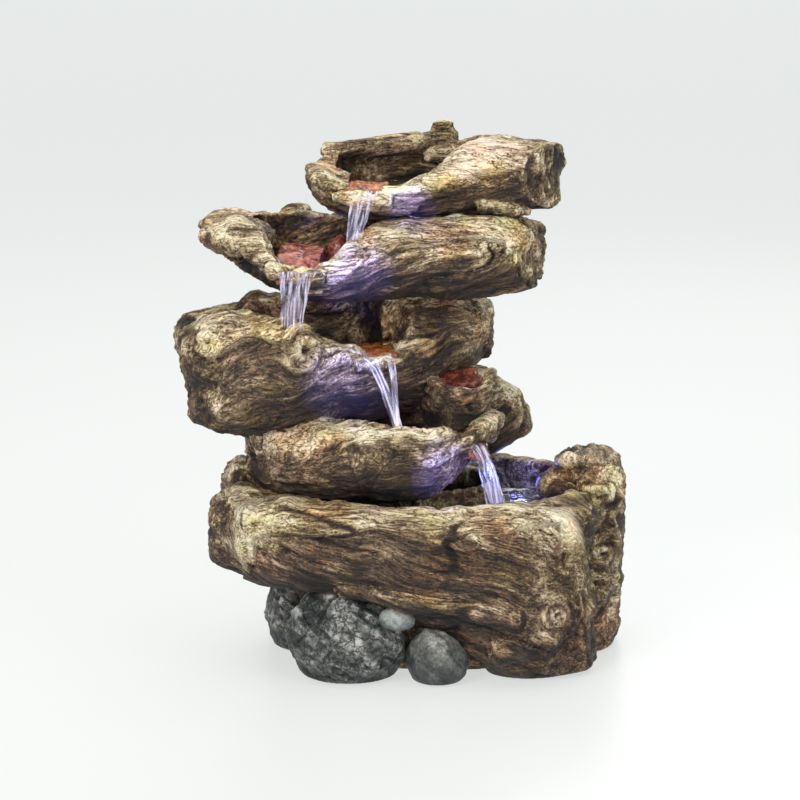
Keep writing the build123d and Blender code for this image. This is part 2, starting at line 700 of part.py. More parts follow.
COIL_RADIUS, COIL_BORE, COIL_FLANGE = 13.0, 8.0, 3.0
CORE_HALF_WIDTH, CORE_HALF_HEIGHT = 15.0, 6.0
PUMP_CORNER = 5.0
BUSHING_LENGTH = 2.5
DIAL_RADIUS = 12.0
DIAL_THICKNESS = 2.0
DIAL_GRIP_LENGTH, DIAL_GRIP_WIDTH, DIAL_GRIP_HEIGHT = 18.0, 2.0, 2.0
DIAL_COLLAR = 1.2  # length of the collar that keeps the pin in

shaft_plane = Plane(origin=(0, PUMP_Y, PUMP_Z), x_dir=(0, 1, 0), z_dir=(1, 0, 0))
pump_y_span = (PUMP_Y - PUMP_HALF_WIDTH, PUMP_Y + PUMP_HALF_WIDTH)
pump_z_span = (PUMP_Z - PUMP_HALF_HEIGHT, PUMP_Z + PUMP_HALF_HEIGHT)

with BuildPart() as pump_stator:
    cylinder_on(shaft_plane, COIL_RADIUS, COIL_LEFT, COIL_RIGHT)
    block(
        (COIL_LEFT + COIL_FLANGE, COIL_RIGHT - COIL_FLANGE),
        (PUMP_Y - CORE_HALF_WIDTH, PUMP_Y + CORE_HALF_WIDTH),
        (PUMP_Z - CORE_HALF_HEIGHT, PUMP_Z + CORE_HALF_HEIGHT),
    )
    cylinder_on(shaft_plane, COIL_BORE, COIL_LEFT, COIL_RIGHT, Mode.SUBTRACT)
finish(pump_stator.part, "pump_stator")

with BuildPart() as pump_body:
    block((MOTOR_LEFT, MOTOR_RIGHT), pump_y_span, pump_z_span)
    fillet(pump_body.edges().filter_by(Axis.X), PUMP_CORNER)
    cylinder_on(shaft_plane, VOLUTE_RADIUS, MOTOR_RIGHT, VOLUTE_RIGHT)
    upright_cylinder(RISER_X, RISER_Y, OUTLET_TUBE_RADIUS, PUMP_Z, OUTLET_TOP)
    cylinder_on(shaft_plane, VOLUTE_BORE, MOTOR_RIGHT, VOLUTE_RIGHT, Mode.SUBTRACT)
    cylinder_on(shaft_plane, WELL_RADIUS, WELL_LEFT, MOTOR_RIGHT, Mode.SUBTRACT)
    cylinder_on(shaft_plane, BUSHING_RADIUS, WELL_LEFT - BUSHING_LENGTH, WELL_LEFT, Mode.SUBTRACT)
    upright_cylinder(RISER_X, RISER_Y, OUTLET_TUBE_BORE, PUMP_Z + 8, OUTLET_TOP, Mode.SUBTRACT)
    add(pump_stator.part, mode=Mode.SUBTRACT)
finish(pump_body.part, "pump_body")

SEAL_INNER, SEAL_OUTER = 13.2, 15.0
with BuildPart() as pump_seal:
    cylinder_on(shaft_plane, SEAL_OUTER, VOLUTE_RIGHT, VOLUTE_RIGHT + 1)
    cylinder_on(shaft_plane, SEAL_INNER, VOLUTE_RIGHT, VOLUTE_RIGHT + 1, Mode.SUBTRACT)
finish(pump_seal.part, "pump_seal")

with BuildPart() as pump_cover:
    block((VOLUTE_RIGHT, COVER_RIGHT), pump_y_span, pump_z_span)
    fillet(pump_cover.edges().filter_by(Axis.X), PUMP_CORNER)
    cylinder_on(shaft_plane, INLET_RADIUS, VOLUTE_RIGHT, COVER_RIGHT, Mode.SUBTRACT)
    cylinder_on(shaft_plane, BUSHING_RADIUS + 1, VOLUTE_RIGHT, COVER_RIGHT)
    for spoke in (0, 120, 240):
        with BuildSketch(shaft_plane.offset(VOLUTE_RIGHT)) as rib:
            with PolarLocations(BUSHING_RADIUS, 1, start_angle=spoke + 90):
                Rectangle(INLET_RADIUS - BUSHING_RADIUS + 1, 1.4, align=(Align.MIN, Align.CENTER))
        extrude(rib.sketch, amount=COVER_RIGHT - VOLUTE_RIGHT)
    cylinder_on(shaft_plane, BUSHING_RADIUS, VOLUTE_RIGHT, COVER_RIGHT, Mode.SUBTRACT)
    add(pump_seal.part, mode=Mode.SUBTRACT)
finish(pump_cover.part, "pump_cover")

BUSHINGS = {"rear": (WELL_LEFT - BUSHING_LENGTH, WELL_LEFT), "front": (VOLUTE_RIGHT, COVER_RIGHT)}
for name, (start, end) in BUSHINGS.items():
    with BuildPart() as bushing:
        cylinder_on(shaft_plane, BUSHING_RADIUS, start, end)
        cylinder_on(shaft_plane, SHAFT_RADIUS, start, end, Mode.SUBTRACT)
    finish(bushing.part, f"shaft_bushing_{name}")

with BuildPart() as impeller_shaft:
    cylinder_on(shaft_plane, SHAFT_RADIUS, WELL_LEFT - BUSHING_LENGTH, COVER_RIGHT)
finish(impeller_shaft.part, "impeller_shaft")

BLADE_COUNT = 6
BLADE_RADIUS = 10.5
with BuildPart() as impeller:
    cylinder_on(shaft_plane, ROTOR_RADIUS, WELL_LEFT + 0.8, MOTOR_RIGHT + 1)
    cylinder_on(shaft_plane, BLADE_RADIUS, MOTOR_RIGHT + 1, MOTOR_RIGHT + 2.5)
    cylinder_on(shaft_plane, 3, MOTOR_RIGHT + 2.5, VOLUTE_RIGHT - 0.8)
    with BuildSketch(shaft_plane.offset(MOTOR_RIGHT + 2.5)) as blades:
        with PolarLocations(2, BLADE_COUNT):
            Rectangle(BLADE_RADIUS - 2.4, 1.2, align=(Align.MIN, Align.CENTER))
    extrude(blades.sketch, amount=6)
    cylinder_on(shaft_plane, SHAFT_RADIUS + RUNNING_CLEARANCE, WELL_LEFT, VOLUTE_RIGHT, Mode.SUBTRACT)
finish(impeller.part, "impeller")

with BuildPart() as outlet_nozzle:
    upright_cylinder(RISER_X, RISER_Y, OUTLET_TUBE_BORE, OUTLET_TOP - 8, OUTLET_TOP)
    upright_cylinder(RISER_X, RISER_Y, OUTLET_RADIUS, OUTLET_TOP, HOSE_BOTTOM)
    upright_cylinder(RISER_X, RISER_Y, HOSE_BORE, HOSE_BOTTOM, HOSE_BOTTOM + 10)
    upright_cylinder(RISER_X, RISER_Y, SPOUT_BORE, OUTLET_TOP - 8, HOSE_BOTTOM + 10, Mode.SUBTRACT)
finish(outlet_nozzle.part, "outlet_nozzle")

STRAINER_SLOTS = 5
DIAL_PIN_RADIUS = 2.0
DIAL_WINDOWS = 3
DIAL_WINDOW_CIRCLE, DIAL_WINDOW_RADIUS = 7.0, 2.2

with BuildPart() as strainer:
    block((COVER_RIGHT, STRAINER_RIGHT), pump_y_span, pump_z_span)
    fillet(strainer.edges().filter_by(Axis.X), PUMP_CORNER)
    inner_y = (pump_y_span[0] + STRAINER_WALL, pump_y_span[1] - STRAINER_WALL)
    inner_z = (pump_z_span[0] + STRAINER_WALL, pump_z_span[1] - STRAINER_WALL)
    block((COVER_RIGHT, STRAINER_INSIDE), inner_y, inner_z, Mode.SUBTRACT)
    for slot in range(STRAINER_SLOTS):
        slot_y = PUMP_Y + (slot - (STRAINER_SLOTS - 1) / 2) * 5
        block((COVER_RIGHT + 3, STRAINER_RIGHT - 4), (slot_y - 1, slot_y + 1), pump_z_span, Mode.SUBTRACT)
    cylinder_on(shaft_plane, DIAL_PIN_RADIUS, COVER_RIGHT, STRAINER_RIGHT, Mode.SUBTRACT)
    with BuildSketch(shaft_plane.offset(STRAINER_INSIDE)) as windows:
        with PolarLocations(DIAL_WINDOW_CIRCLE, DIAL_WINDOWS):
            Circle(DIAL_WINDOW_RADIUS)
    extrude(windows.sketch, amount=STRAINER_WALL, mode=Mode.SUBTRACT)
finish(strainer.part, "strainer")

with BuildPart() as filter_sponge:
    block((COVER_RIGHT + 1, STRAINER_INSIDE - 1.5), inner_y, inner_z)
    cylinder_on(shaft_plane, INLET_RADIUS + 1, COVER_RIGHT, STRAINER_RIGHT, Mode.SUBTRACT)
finish(filter_sponge.part, "filter_sponge")

with BuildPart() as flow_dial:
    cylinder_on(shaft_plane, DIAL_RADIUS, STRAINER_RIGHT, STRAINER_RIGHT + DIAL_THICKNESS)
    block(
        (STRAINER_RIGHT + DIAL_THICKNESS, STRAINER_RIGHT + DIAL_THICKNESS + DIAL_GRIP_HEIGHT),
        (PUMP_Y - DIAL_GRIP_WIDTH / 2, PUMP_Y + DIAL_GRIP_WIDTH / 2),
        (PUMP_Z - DIAL_GRIP_LENGTH / 2, PUMP_Z + DIAL_GRIP_LENGTH / 2),
    )
    with BuildSketch(shaft_plane.offset(STRAINER_RIGHT)) as windows:
        with PolarLocations(DIAL_WINDOW_CIRCLE, DIAL_WINDOWS, start_angle=60):
            Circle(DIAL_WINDOW_RADIUS)
    extrude(windows.sketch, amount=DIAL_THICKNESS, mode=Mode.SUBTRACT)
    cylinder_on(shaft_plane, DIAL_PIN_RADIUS - RUNNING_CLEARANCE, STRAINER_INSIDE, STRAINER_RIGHT)
    cylinder_on(shaft_plane, DIAL_PIN_RADIUS + 1, STRAINER_INSIDE - DIAL_COLLAR, STRAINER_INSIDE)
finish(flow_dial.part, "flow_dial")

CUP_RADIUS, CUP_THICKNESS, CUP_STEM_RADIUS = 5.0, 1.2, 2.0
CUP_INSET = 6.0
with BuildPart() as suction_cups:
    for cup_x in (MOTOR_LEFT + CUP_INSET, MOTOR_RIGHT - CUP_INSET):
        for cup_y in (pump_y_span[0] + CUP_INSET + 1, pump_y_span[1] - CUP_INSET - 1):
            upright_cylinder(cup_x, cup_y, CUP_RADIUS, BOWL_FLOOR, BOWL_FLOOR + CUP_THICKNESS)
            upright_cylinder(cup_x, cup_y, CUP_STEM_RADIUS, BOWL_FLOOR + CUP_THICKNESS, pump_z_span[0])
finish(suction_cups.part, "suction_cups")
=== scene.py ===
"""The looks of the tabletop log fountain: carved and painted castings, wet stones, water and its lights."""

import json
import math

import bmesh
import bpy
import numpy as np
from mathutils import Matrix, Vector


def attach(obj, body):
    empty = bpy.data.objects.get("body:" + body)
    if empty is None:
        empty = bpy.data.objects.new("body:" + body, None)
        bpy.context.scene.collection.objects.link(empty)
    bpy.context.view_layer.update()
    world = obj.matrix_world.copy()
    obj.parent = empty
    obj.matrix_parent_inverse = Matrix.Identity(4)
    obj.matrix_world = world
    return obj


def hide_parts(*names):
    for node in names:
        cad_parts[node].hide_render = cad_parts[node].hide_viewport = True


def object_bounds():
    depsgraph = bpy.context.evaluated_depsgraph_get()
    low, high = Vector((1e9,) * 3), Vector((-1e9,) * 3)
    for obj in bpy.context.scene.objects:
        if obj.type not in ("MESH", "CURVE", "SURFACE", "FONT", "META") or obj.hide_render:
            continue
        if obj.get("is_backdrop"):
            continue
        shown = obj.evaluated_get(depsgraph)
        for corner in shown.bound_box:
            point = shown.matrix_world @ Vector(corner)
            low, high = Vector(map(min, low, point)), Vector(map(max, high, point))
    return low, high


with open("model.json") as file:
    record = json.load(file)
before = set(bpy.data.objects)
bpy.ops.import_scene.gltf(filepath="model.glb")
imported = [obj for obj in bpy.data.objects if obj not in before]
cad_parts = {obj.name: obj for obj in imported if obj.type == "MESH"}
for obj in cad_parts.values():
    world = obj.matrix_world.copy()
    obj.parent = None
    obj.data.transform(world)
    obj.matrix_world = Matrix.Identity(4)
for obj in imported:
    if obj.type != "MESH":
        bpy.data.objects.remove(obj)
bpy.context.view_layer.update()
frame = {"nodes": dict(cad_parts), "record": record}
cad_nodes = frame["nodes"]

MM = 0.001
ROOT = "fountain"
LOWEST = 1.0  # no carved point goes below this height, in millimetres, since the pads carry the fountain
WATER_SKIN = 0.8


# ---------------------------------------------------------------- noise for the carving
def smooth_step(low, high, value):
    """0 below low, 1 above high and an even curve between them."""
    share = np.clip((value - low) / (high - low), 0, 1)
    return share * share * (3 - 2 * share)


def lattice_value(cell, seed):
    """A repeatable value from -1 to 1 for each whole-numbered cell."""
    mixed = cell[:, 0] * 374761393 + cell[:, 1] * 668265263 + cell[:, 2] * 1440662683 + seed * 1274126177
    mixed &= 0xFFFFFFFF
    mixed = ((mixed ^ (mixed >> 13)) * 1274126177) & 0xFFFFFFFF
    return ((mixed ^ (mixed >> 16)) & 0xFFFF) / 32767.5 - 1


def noise(points, seed):
    """Smooth noise from -1 to 1 at points measured in cells."""
    cell = np.floor(points).astype(np.int64)
    part = points - cell
    part = part * part * part * (part * (part * 6 - 15) + 10)
    total = np.zeros(len(points))
    for corner in range(8):
        step = np.array([corner & 1, corner >> 1 & 1, corner >> 2 & 1])
        weight = np.prod(np.where(step, part, 1 - part), axis=1)
        total += weight * lattice_value(cell + step, seed)
    return total


def rough(points, seed, octaves=3):
    """Noise with finer and weaker layers on top."""
    total, strength = np.zeros(len(points)), 1.0
    for layer in range(octaves):
        total += strength * noise(points * 2.03**layer + 17.3 * layer, seed + layer)
        strength *= 0.5
    return total


def ridged(points, seed, octaves=2):
    """Noise with sharp crests, from about -1 to 1."""
    total, strength = np.zeros(len(points)), 1.0
    for layer in range(octaves):
        total += strength * (1 - 2.6 * np.abs(noise(points * 2.1**layer + 9.1 * layer, seed + layer)))
        strength *= 0.5
    return total / 1.5


# ---------------------------------------------------------------- mesh helpers
def own_mesh(node):
    """A copy of a CAD node's mesh with its doubles merged, as a bmesh."""
    mesh = bmesh.new()
    mesh.from_mesh(cad_nodes[node].data)
    bmesh.ops.remove_doubles(mesh, verts=mesh.verts, dist=1e-6)
    return mesh


def add_lump(mesh, place, radii, turn=(0, 0, 0)):
    """Adds a rounded lump. place and radii are in millimetres and turn is in degrees about X, Y and Z."""
    matrix = Matrix.Translation(Vector(place) * MM)
    for axis, angle in zip("ZYX", reversed(turn)):
        matrix = matrix @ Matrix.Rotation(math.radians(angle), 4, axis)
    matrix = matrix @ Matrix.Diagonal([*(r * MM for r in radii), 1])
    bmesh.ops.create_icosphere(mesh, subdivisions=3, radius=1, matrix=matrix)


def add_rod(mesh, start, end, start_radius, end_radius):
    """Adds a tapered round bar between two points, in millimetres, with rounded ends."""
    start, end = Vector(start), Vector(end)
    run = end - start
    matrix = Matrix.Translation((start + end) / 2 * MM) @ run.to_track_quat("Z", "Y").to_matrix().to_4x4()
    bmesh.ops.create_cone(
        mesh,
        cap_ends=True,
        segments=24,
        radius1=start_radius * MM,
        radius2=end_radius * MM,
        depth=run.length * MM,
        matrix=matrix,
    )
    for point, radius in ((start, start_radius), (end, end_radius)):
        add_lump(mesh, point, (radius, radius, radius))


def add_plug(mesh, x, y, radius, bottom, top):
    """Adds an upright cylinder, in millimetres, that closes a duct."""
    matrix = Matrix.Translation(Vector((x, y, (bottom + top) / 2)) * MM)
    bmesh.ops.create_cone(
        mesh,
        cap_ends=True,
        segments=32,
        radius1=radius * MM,
        radius2=radius * MM,
        depth=(top - bottom) * MM,
        matrix=matrix,
    )


def voxel_skin(mesh, name, voxel):
    """Fuses everything in a bmesh into one closed skin and returns it as a new object."""
    data = bpy.data.meshes.new(name)
    mesh.to_mesh(data)
    mesh.free()
    source = bpy.data.objects.new(name + "_source", data)
    bpy.context.scene.collection.objects.link(source)
    remesh = source.modifiers.new("skin", "REMESH")
    remesh.mode = "VOXEL"
    remesh.voxel_size = voxel * MM
    view_layer_graph = bpy.context.evaluated_depsgraph_get()
    skin = bpy.data.meshes.new_from_object(source.evaluated_get(view_layer_graph))
    bpy.data.objects.remove(source)
    skin.name = name
    piece = bpy.data.objects.new(name, skin)
    bpy.context.scene.collection.objects.link(piece)
    return piece


def read_points(data):
    """Vertex positions in millimetres and unit normals."""
    count = len(data.vertices)
    positions = np.empty(count * 3, np.float32)
    normals = np.empty(count * 3, np.float32)
    data.vertices.foreach_get("co", positions)
    data.vertex_normals.foreach_get("vector", normals)
    return positions.reshape(-1, 3).astype(float) / MM, normals.reshape(-1, 3).astype(float)


def write_points(data, positions):
    """Puts vertex positions, in millimetres, back into a mesh."""
    data.vertices.foreach_set("co", (positions * MM).astype(np.float32).ravel())
    data.update()


def write_value(data, name, values):
    """Stores one number for each vertex, for a material to read."""
    layer = data.attributes.new(name, "FLOAT", "POINT")
    layer.data.foreach_set("value", values.astype(np.float32))


def write_vector(data, name, values):
    """Stores three numbers for each vertex, for a material to read."""
    layer = data.attributes.new(name, "FLOAT_VECTOR", "POINT")
    layer.data.foreach_set("vector", values.astype(np.float32).ravel())


def settle(piece, node_names, material, body=ROOT):
    """Finishes a new piece: its material, its body and the CAD nodes that it stands for."""
    piece.data.materials.clear()
    piece.data.materials.append(material)
    piece.data.shade_smooth()
    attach(piece, body)
    if node_names:
        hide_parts(*node_names)


# ---------------------------------------------------------------- materials
class Shader:
    """A material's node tree, with short calls for the nodes that the finishes here use."""

    def __init__(self, name, roughness=0.6):
        self.material = bpy.data.materials.new(name)
        self.material.use_nodes = True
        self.tree = self.material.node_tree
        self.surface = self.tree.nodes["Principled BSDF"]
        self.surface.inputs["Roughness"].default_value = roughness

    def add(self, kind, **settings):
        made = self.tree.nodes.new(kind)
        for key, value in settings.items():
            setattr(made, key, value)
        return made

    def link(self, source, target):
        self.tree.links.new(source, target)

    def attribute(self, name, output="Fac"):
        return self.add("ShaderNodeAttribute", attribute_name=name).outputs[output]

    def object_points(self):
        return self.add("ShaderNodeTexCoord").outputs["Object"]

    def noise(self, vector, scale, detail=4.0, softness=0.55):
        made = self.add("ShaderNodeTexNoise")
        self.link(vector, made.inputs["Vector"])
        made.inputs["Scale"].default_value = scale
        made.inputs["Detail"].default_value = detail
        made.inputs["Roughness"].default_value = softness
        return made.outputs["Fac"]

    def math(self, operation, first, second=None, third=None, clamp=False):
        made = self.add("ShaderNodeMath", operation=operation, use_clamp=clamp)
        for socket, value in zip(made.inputs, (first, second, third)):
            if isinstance(value, (int, float)):
                socket.default_value = value
            elif value is not None:
                self.link(value, socket)
        return made.outputs[0]

    def swing(self, value, middle, strength):
        """A pattern's swing either side of its middle value, scaled."""
        return self.math("MULTIPLY", self.math("SUBTRACT", value, middle), strength)

    def ramp(self, factor, stops):
        made = self.add("ShaderNodeValToRGB")
        self.link(factor, made.inputs["Fac"])
        elements = made.color_ramp.elements
        while len(elements) < len(stops):
            elements.new(0.5)
        for element, (position, color) in zip(elements, stops):
            element.position = position
            element.color = (*color, 1)
        return made.outputs["Color"]

    def mix(self, factor, first, second, blend="MIX"):
        made = self.add("ShaderNodeMix", data_type="RGBA", blend_type=blend)
        for socket, value in ((made.inputs[0], factor), (made.inputs[6], first), (made.inputs[7], second)):
            if isinstance(value, (int, float)):
                socket.default_value = value
            elif isinstance(value, tuple):
                socket.default_value = (*value, 1)
            else:
                self.link(value, socket)
        return made.outputs[2]

    def range(self, value, low, high, to_low, to_high):
        made = self.add("ShaderNodeMapRange")
        self.link(value, made.inputs["Value"])
        for name, number in zip(("From Min", "From Max", "To Min", "To Max"), (low, high, to_low, to_high)):
            made.inputs[name].default_value = number
        return made.outputs["Result"]

    def roughness(self, value, low, high, to_low, to_high):
        self.link(self.range(value, low, high, to_low, to_high), self.surface.inputs["Roughness"])

    def tinted(self, paint, tint):
        return self.mix(1.0, paint, tint, "MULTIPLY")

    def bump(self, height, depth, strength=1.0):
        made = self.add("ShaderNodeBump")
        made.inputs["Distance"].default_value = depth
        made.inputs["Strength"].default_value = strength
        self.link(height, made.inputs["Height"])
        self.link(made.outputs["Normal"], self.surface.inputs["Normal"])

    def color(self, source):
        self.link(source, self.surface.inputs["Base Color"])


BARK_STOPS = [
    (0.00, (0.008, 0.005, 0.004)),
    (0.24, (0.030, 0.018, 0.011)),
    (0.42, (0.085, 0.052, 0.028)),
    (0.58, (0.200, 0.132, 0.068)),
    (0.72, (0.400, 0.300, 0.170)),
    (0.85, (0.660, 0.550, 0.360)),
    (1.00, (0.860, 0.780, 0.590)),
]


def painted_bark():
    """Resin bark: dark wash in the cracks, brown body and cream dry-brushed on the ridges."""
    bark = Shader("painted_bark", 0.55)
    points = bark.object_points()
    grain = bark.attribute("grain", "Vector")
    streaks = bark.noise(grain, 1.0, 6.0, 0.62)
    fibres = bark.math("ABSOLUTE", bark.math("SUBTRACT", bark.noise(grain, 0.8, 3.0, 0.6), 0.5))
    splits = bark.range(fibres, 0.0, 0.04, 0.34, 0.0)
    specks = bark.noise(points, 640.0, 4.0, 0.75)
    bands = bark.noise(grain, 0.28, 3.0, 0.55)
    level = bark.attribute("tone")
    for pattern, middle, strength in ((streaks, 0.48, 0.95), (specks, 0.5, 0.85), (bands, 0.5, 0.75)):
        level = bark.math("ADD", level, bark.swing(pattern, middle, strength))
    paint = bark.ramp(bark.math("SUBTRACT", level, splits, clamp=True), BARK_STOPS)
    for scale, low, high, most, tint in (
        (31.0, 0.50, 0.62, 0.70, (0.90, 0.96, 0.62)),
        (23.0, 0.52, 0.64, 0.60, (1.18, 0.82, 0.58)),
        (17.0, 0.53, 0.66, 0.60, (0.88, 0.72, 0.84)),
    ):
        patch = bark.range(bark.noise(points, scale, 3.0, 0.6), low, high, 0.0, most)
        paint = bark.mix(patch, paint, bark.tinted(paint, tint))
    # painted shade: undersides and the face below the plank are tinted violet-grey, for shade and the violet
    # pool light
    paint = bark.mix(bark.attribute("shade"), paint, bark.tinted(paint, (0.60, 0.53, 0.60)))
    wet = bark.attribute("wet")
    paint = bark.mix(bark.math("MULTIPLY", wet, 0.4), paint, bark.tinted(paint, (0.60, 0.44, 0.34)))
    bark.color(paint)
    bark.roughness(wet, 0.0, 1.0, 0.58, 0.22)
    relief = bark.math("SUBTRACT", bark.math("ADD", streaks, bark.math("MULTIPLY", specks, 0.5)), splits)
    bark.bump(relief, 2.0 * MM, 1.0)
    return bark.material


def painted_rock(name, stops, crack_depth):
    """Resin rock: dark hollows and pale dry-brushed crests."""
    rock = Shader(name, 0.45)
    points = rock.object_points()
    grit = rock.noise(points, 520.0, 4.0, 0.7)
    blotches = rock.noise(points, 90.0, 5.0, 0.68)
    crackle = rock.math("ABSOLUTE", rock.math("SUBTRACT", rock.noise(points, 150.0, 4.0, 0.65), 0.5))
    crackle = rock.range(crackle, 0.0, 0.05, crack_depth, 0.0)
    level = rock.math("ADD", rock.attribute("tone"), rock.swing(grit, 0.5, 0.5))
    level = rock.math("ADD", level, rock.swing(blotches, 0.5, 0.9))
    rock.color(rock.ramp(rock.math("SUBTRACT", level, crackle, clamp=True), stops))
    rock.roughness(grit, 0.3, 0.7, 0.38, 0.6)
    relief = rock.math("ADD", grit, rock.math("MULTIPLY", blotches, 3.0))
    rock.bump(rock.math("SUBTRACT", relief, rock.math("MULTIPLY", crackle, 2.0)), 0.8 * MM, 1.0)
    return rock.material


def wet_stone(name, stops):
    """Terracotta under a skin of water."""
    stone = Shader(name, 0.2)
    points = stone.object_points()
    mottle = stone.noise(points, 120.0, 5.0, 0.65)
    stone.color(stone.ramp(mottle, stops))
    stone.roughness(mottle, 0.3, 0.7, 0.12, 0.38)
    stone.bump(mottle, 1.0 * MM, 0.8)
    return stone.material


def moulded(name, color, roughness, grain_scale=900.0, depth=0.05, metallic=0.0):
    """A moulded or ground finish with a fine grain."""
    finish = Shader(name, roughness)
    grain = finish.noise(finish.object_points(), grain_scale, 3.0)
    dark = tuple(c * 0.8 for c in color)
    light = tuple(min(1, c * 1.2 + 0.004) for c in color)
    finish.color(finish.ramp(grain, [(0.3, dark), (0.7, light)]))
    finish.roughness(grain, 0.3, 0.7, roughness * 0.85, min(1, roughness * 1.15))
    finish.surface.inputs["Metallic"].default_value = metallic
    finish.bump(grain, depth * MM, 0.6)
    return finish.material


def open_foam():
    """Dark open-cell sponge."""
    foam = Shader("open_foam", 0.95)
    cells = foam.add("ShaderNodeTexVoronoi", feature="DISTANCE_TO_EDGE")
    foam.link(foam.object_points(), cells.inputs["Vector"])
    cells.inputs["Scale"].default_value = 700.0
    # painted shade: the cell hollows are painted near-black for the shade deep in the open pores
    wall, hollow = (0.11, 0.12, 0.13), (0.008, 0.009, 0.01)
    foam.color(foam.ramp(cells.outputs["Distance"], [(0.02, wall), (0.25, hollow)]))
    foam.bump(cells.outputs["Distance"], 0.8 * MM, 1.0)
    return foam.material


def clear_vinyl():
    """Soft clear hose, a little cloudy."""
    vinyl = Shader("clear_vinyl", 0.25)
    cloud = vinyl.noise(vinyl.object_points(), 200.0, 3.0)
    vinyl.color(vinyl.ramp(cloud, [(0.3, (0.62, 0.66, 0.66)), (0.7, (0.86, 0.88, 0.88))]))
    vinyl.surface.inputs["Transmission Weight"].default_value = 0.6
    vinyl.surface.inputs["IOR"].default_value = 1.4
    vinyl.bump(cloud, 0.1 * MM, 0.4)
    return vinyl.material


def glowing_lens():
    """A clear dome lit violet from behind."""
    lens = Shader("glowing_lens", 0.15)
    facets = lens.noise(lens.object_points(), 500.0, 2.0)
    lens.color(lens.ramp(facets, [(0.3, (0.55, 0.45, 1.0)), (0.7, (0.8, 0.75, 1.0))]))
    lens.surface.inputs["Transmission Weight"].default_value = 0.5
    lens.surface.inputs["Emission Color"].default_value = (0.30, 0.16, 1.0, 1)
    lens.surface.inputs["Emission Strength"].default_value = 4.0
    return lens.material


def falling_water():
    """Clear streaming water with bright white strands; its violet colour and faint violet glow are painted
    light from the pool lamps.
    """
    water = Shader("falling_water", 0.08)
    flow = water.attribute("flow", "Vector")
    strands = water.noise(flow, 1.0, 4.0, 0.6)
    foam = water.range(strands, 0.44, 0.60, 0.0, 1.0)
    # painted light: the clear water between the strands is coloured violet for the pool lamps' light
    water.color(water.mix(foam, (0.60, 0.58, 0.95), (1.0, 1.0, 1.0)))
    water.surface.inputs["IOR"].default_value = 1.33
    water.surface.inputs["Transmission Weight"].default_value = 0.85
    water.link(water.range(foam, 0.0, 1.0, 0.07, 0.95), water.surface.inputs["Alpha"])
    water.roughness(foam, 0.0, 1.0, 0.05, 0.35)
    # painted light: a faint violet glow, though the water is no lamp
    water.surface.inputs["Emission Color"].default_value = (0.78, 0.74, 1.0, 1)
    water.surface.inputs["Emission Strength"].default_value = 0.24
    water.bump(strands, 1.2 * MM, 0.8)
    return water.material


def still_water():
    """A pool's rippled surface."""
    water = Shader("pool_water", 0.05)
    ripples = water.noise(water.attribute("flow", "Vector"), 1.0, 2.0, 0.5)
    water.color(water.mix(ripples, (0.70, 0.74, 0.80), (0.9, 0.92, 0.95)))
    water.surface.inputs["IOR"].default_value = 1.33
    water.surface.inputs["Transmission Weight"].default_value = 1.0
    water.surface.inputs["Alpha"].default_value = 0.3
    water.bump(ripples, 1.5 * MM, 0.7)
    return water.material


ROCK_STOPS = [
    (0.00, (0.006, 0.008, 0.009)),
    (0.35, (0.036, 0.041, 0.041)),
    (0.60, (0.140, 0.142, 0.134)),
    (0.80, (0.400, 0.400, 0.380)),
    (1.00, (0.680, 0.690, 0.670)),
]
PEBBLE_STOPS = [
    (0.0, (0.030, 0.040, 0.045)),
    (0.4, (0.140, 0.160, 0.160)),
    (0.7, (0.360, 0.390, 0.380)),
    (1.0, (0.660, 0.680, 0.660)),
]
ORANGE_STOPS = [
    (0.32, (0.080, 0.022, 0.009)),
    (0.46, (0.250, 0.070, 0.022)),
    (0.58, (0.400, 0.130, 0.042)),
    (0.72, (0.640, 0.290, 0.120)),
]
RED_STOPS = [
    (0.32, (0.055, 0.014, 0.010)),
    (0.46, (0.200, 0.044, 0.030)),
    (0.58, (0.430, 0.130, 0.085)),
    (0.72, (0.740, 0.380, 0.300)),
]
DARK_RED_STOPS = [
    (0.34, (0.020, 0.008, 0.006)),
    (0.48, (0.090, 0.022, 0.015)),
    (0.60, (0.230, 0.060, 0.040)),
    (0.74, (0.460, 0.200, 0.140)),
]
bark_finish = painted_bark()
rock_finish = painted_rock("painted_rock", ROCK_STOPS, 0.32)
smooth_rock_finish = painted_rock("painted_smooth_rock", ROCK_STOPS, 0.08)
pebble_finish = painted_rock("painted_pebble", PEBBLE_STOPS, 0.1)
red_finish = wet_stone("wet_red_stone", RED_STOPS)
dark_red_finish = wet_stone("wet_dark_red_stone", DARK_RED_STOPS)
orange_finish = wet_stone("wet_orange_stone", ORANGE_STOPS)
fall_finish = falling_water()
pool_finish = still_water()
FINISHES = {
    "cast_bark": bark_finish,
    "cast_basin": bark_finish,
    "cast_rock": rock_finish,
    "cast_pebble": pebble_finish,
    "red_stone": red_finish,
    "hose": clear_vinyl(),
    "black_plastic": moulded("black_moulding", (0.018, 0.018, 0.02), 0.5),
    "grey_plastic": moulded("grey_moulding", (0.22, 0.225, 0.23), 0.45),
    "impeller_plastic": moulded("impeller_moulding", (0.62, 0.61, 0.56), 0.35),
    "shaft_steel": moulded("ground_steel", (0.62, 0.62, 0.63), 0.25, 1500.0, 0.02, 1.0),
    "stator_iron": moulded("potted_iron", (0.06, 0.06, 0.065), 0.6, 500.0, 0.15, 0.4),
    "sponge": open_foam(),
    "rubber": moulded("soft_rubber", (0.02, 0.02, 0.02), 0.75, 700.0, 0.08),
    "lead": moulded("lead_sleeve", (0.03, 0.03, 0.032), 0.6),
    "board": moulded("white_board", (0.72, 0.72, 0.68), 0.5),
    "lens": glowing_lens(),
}
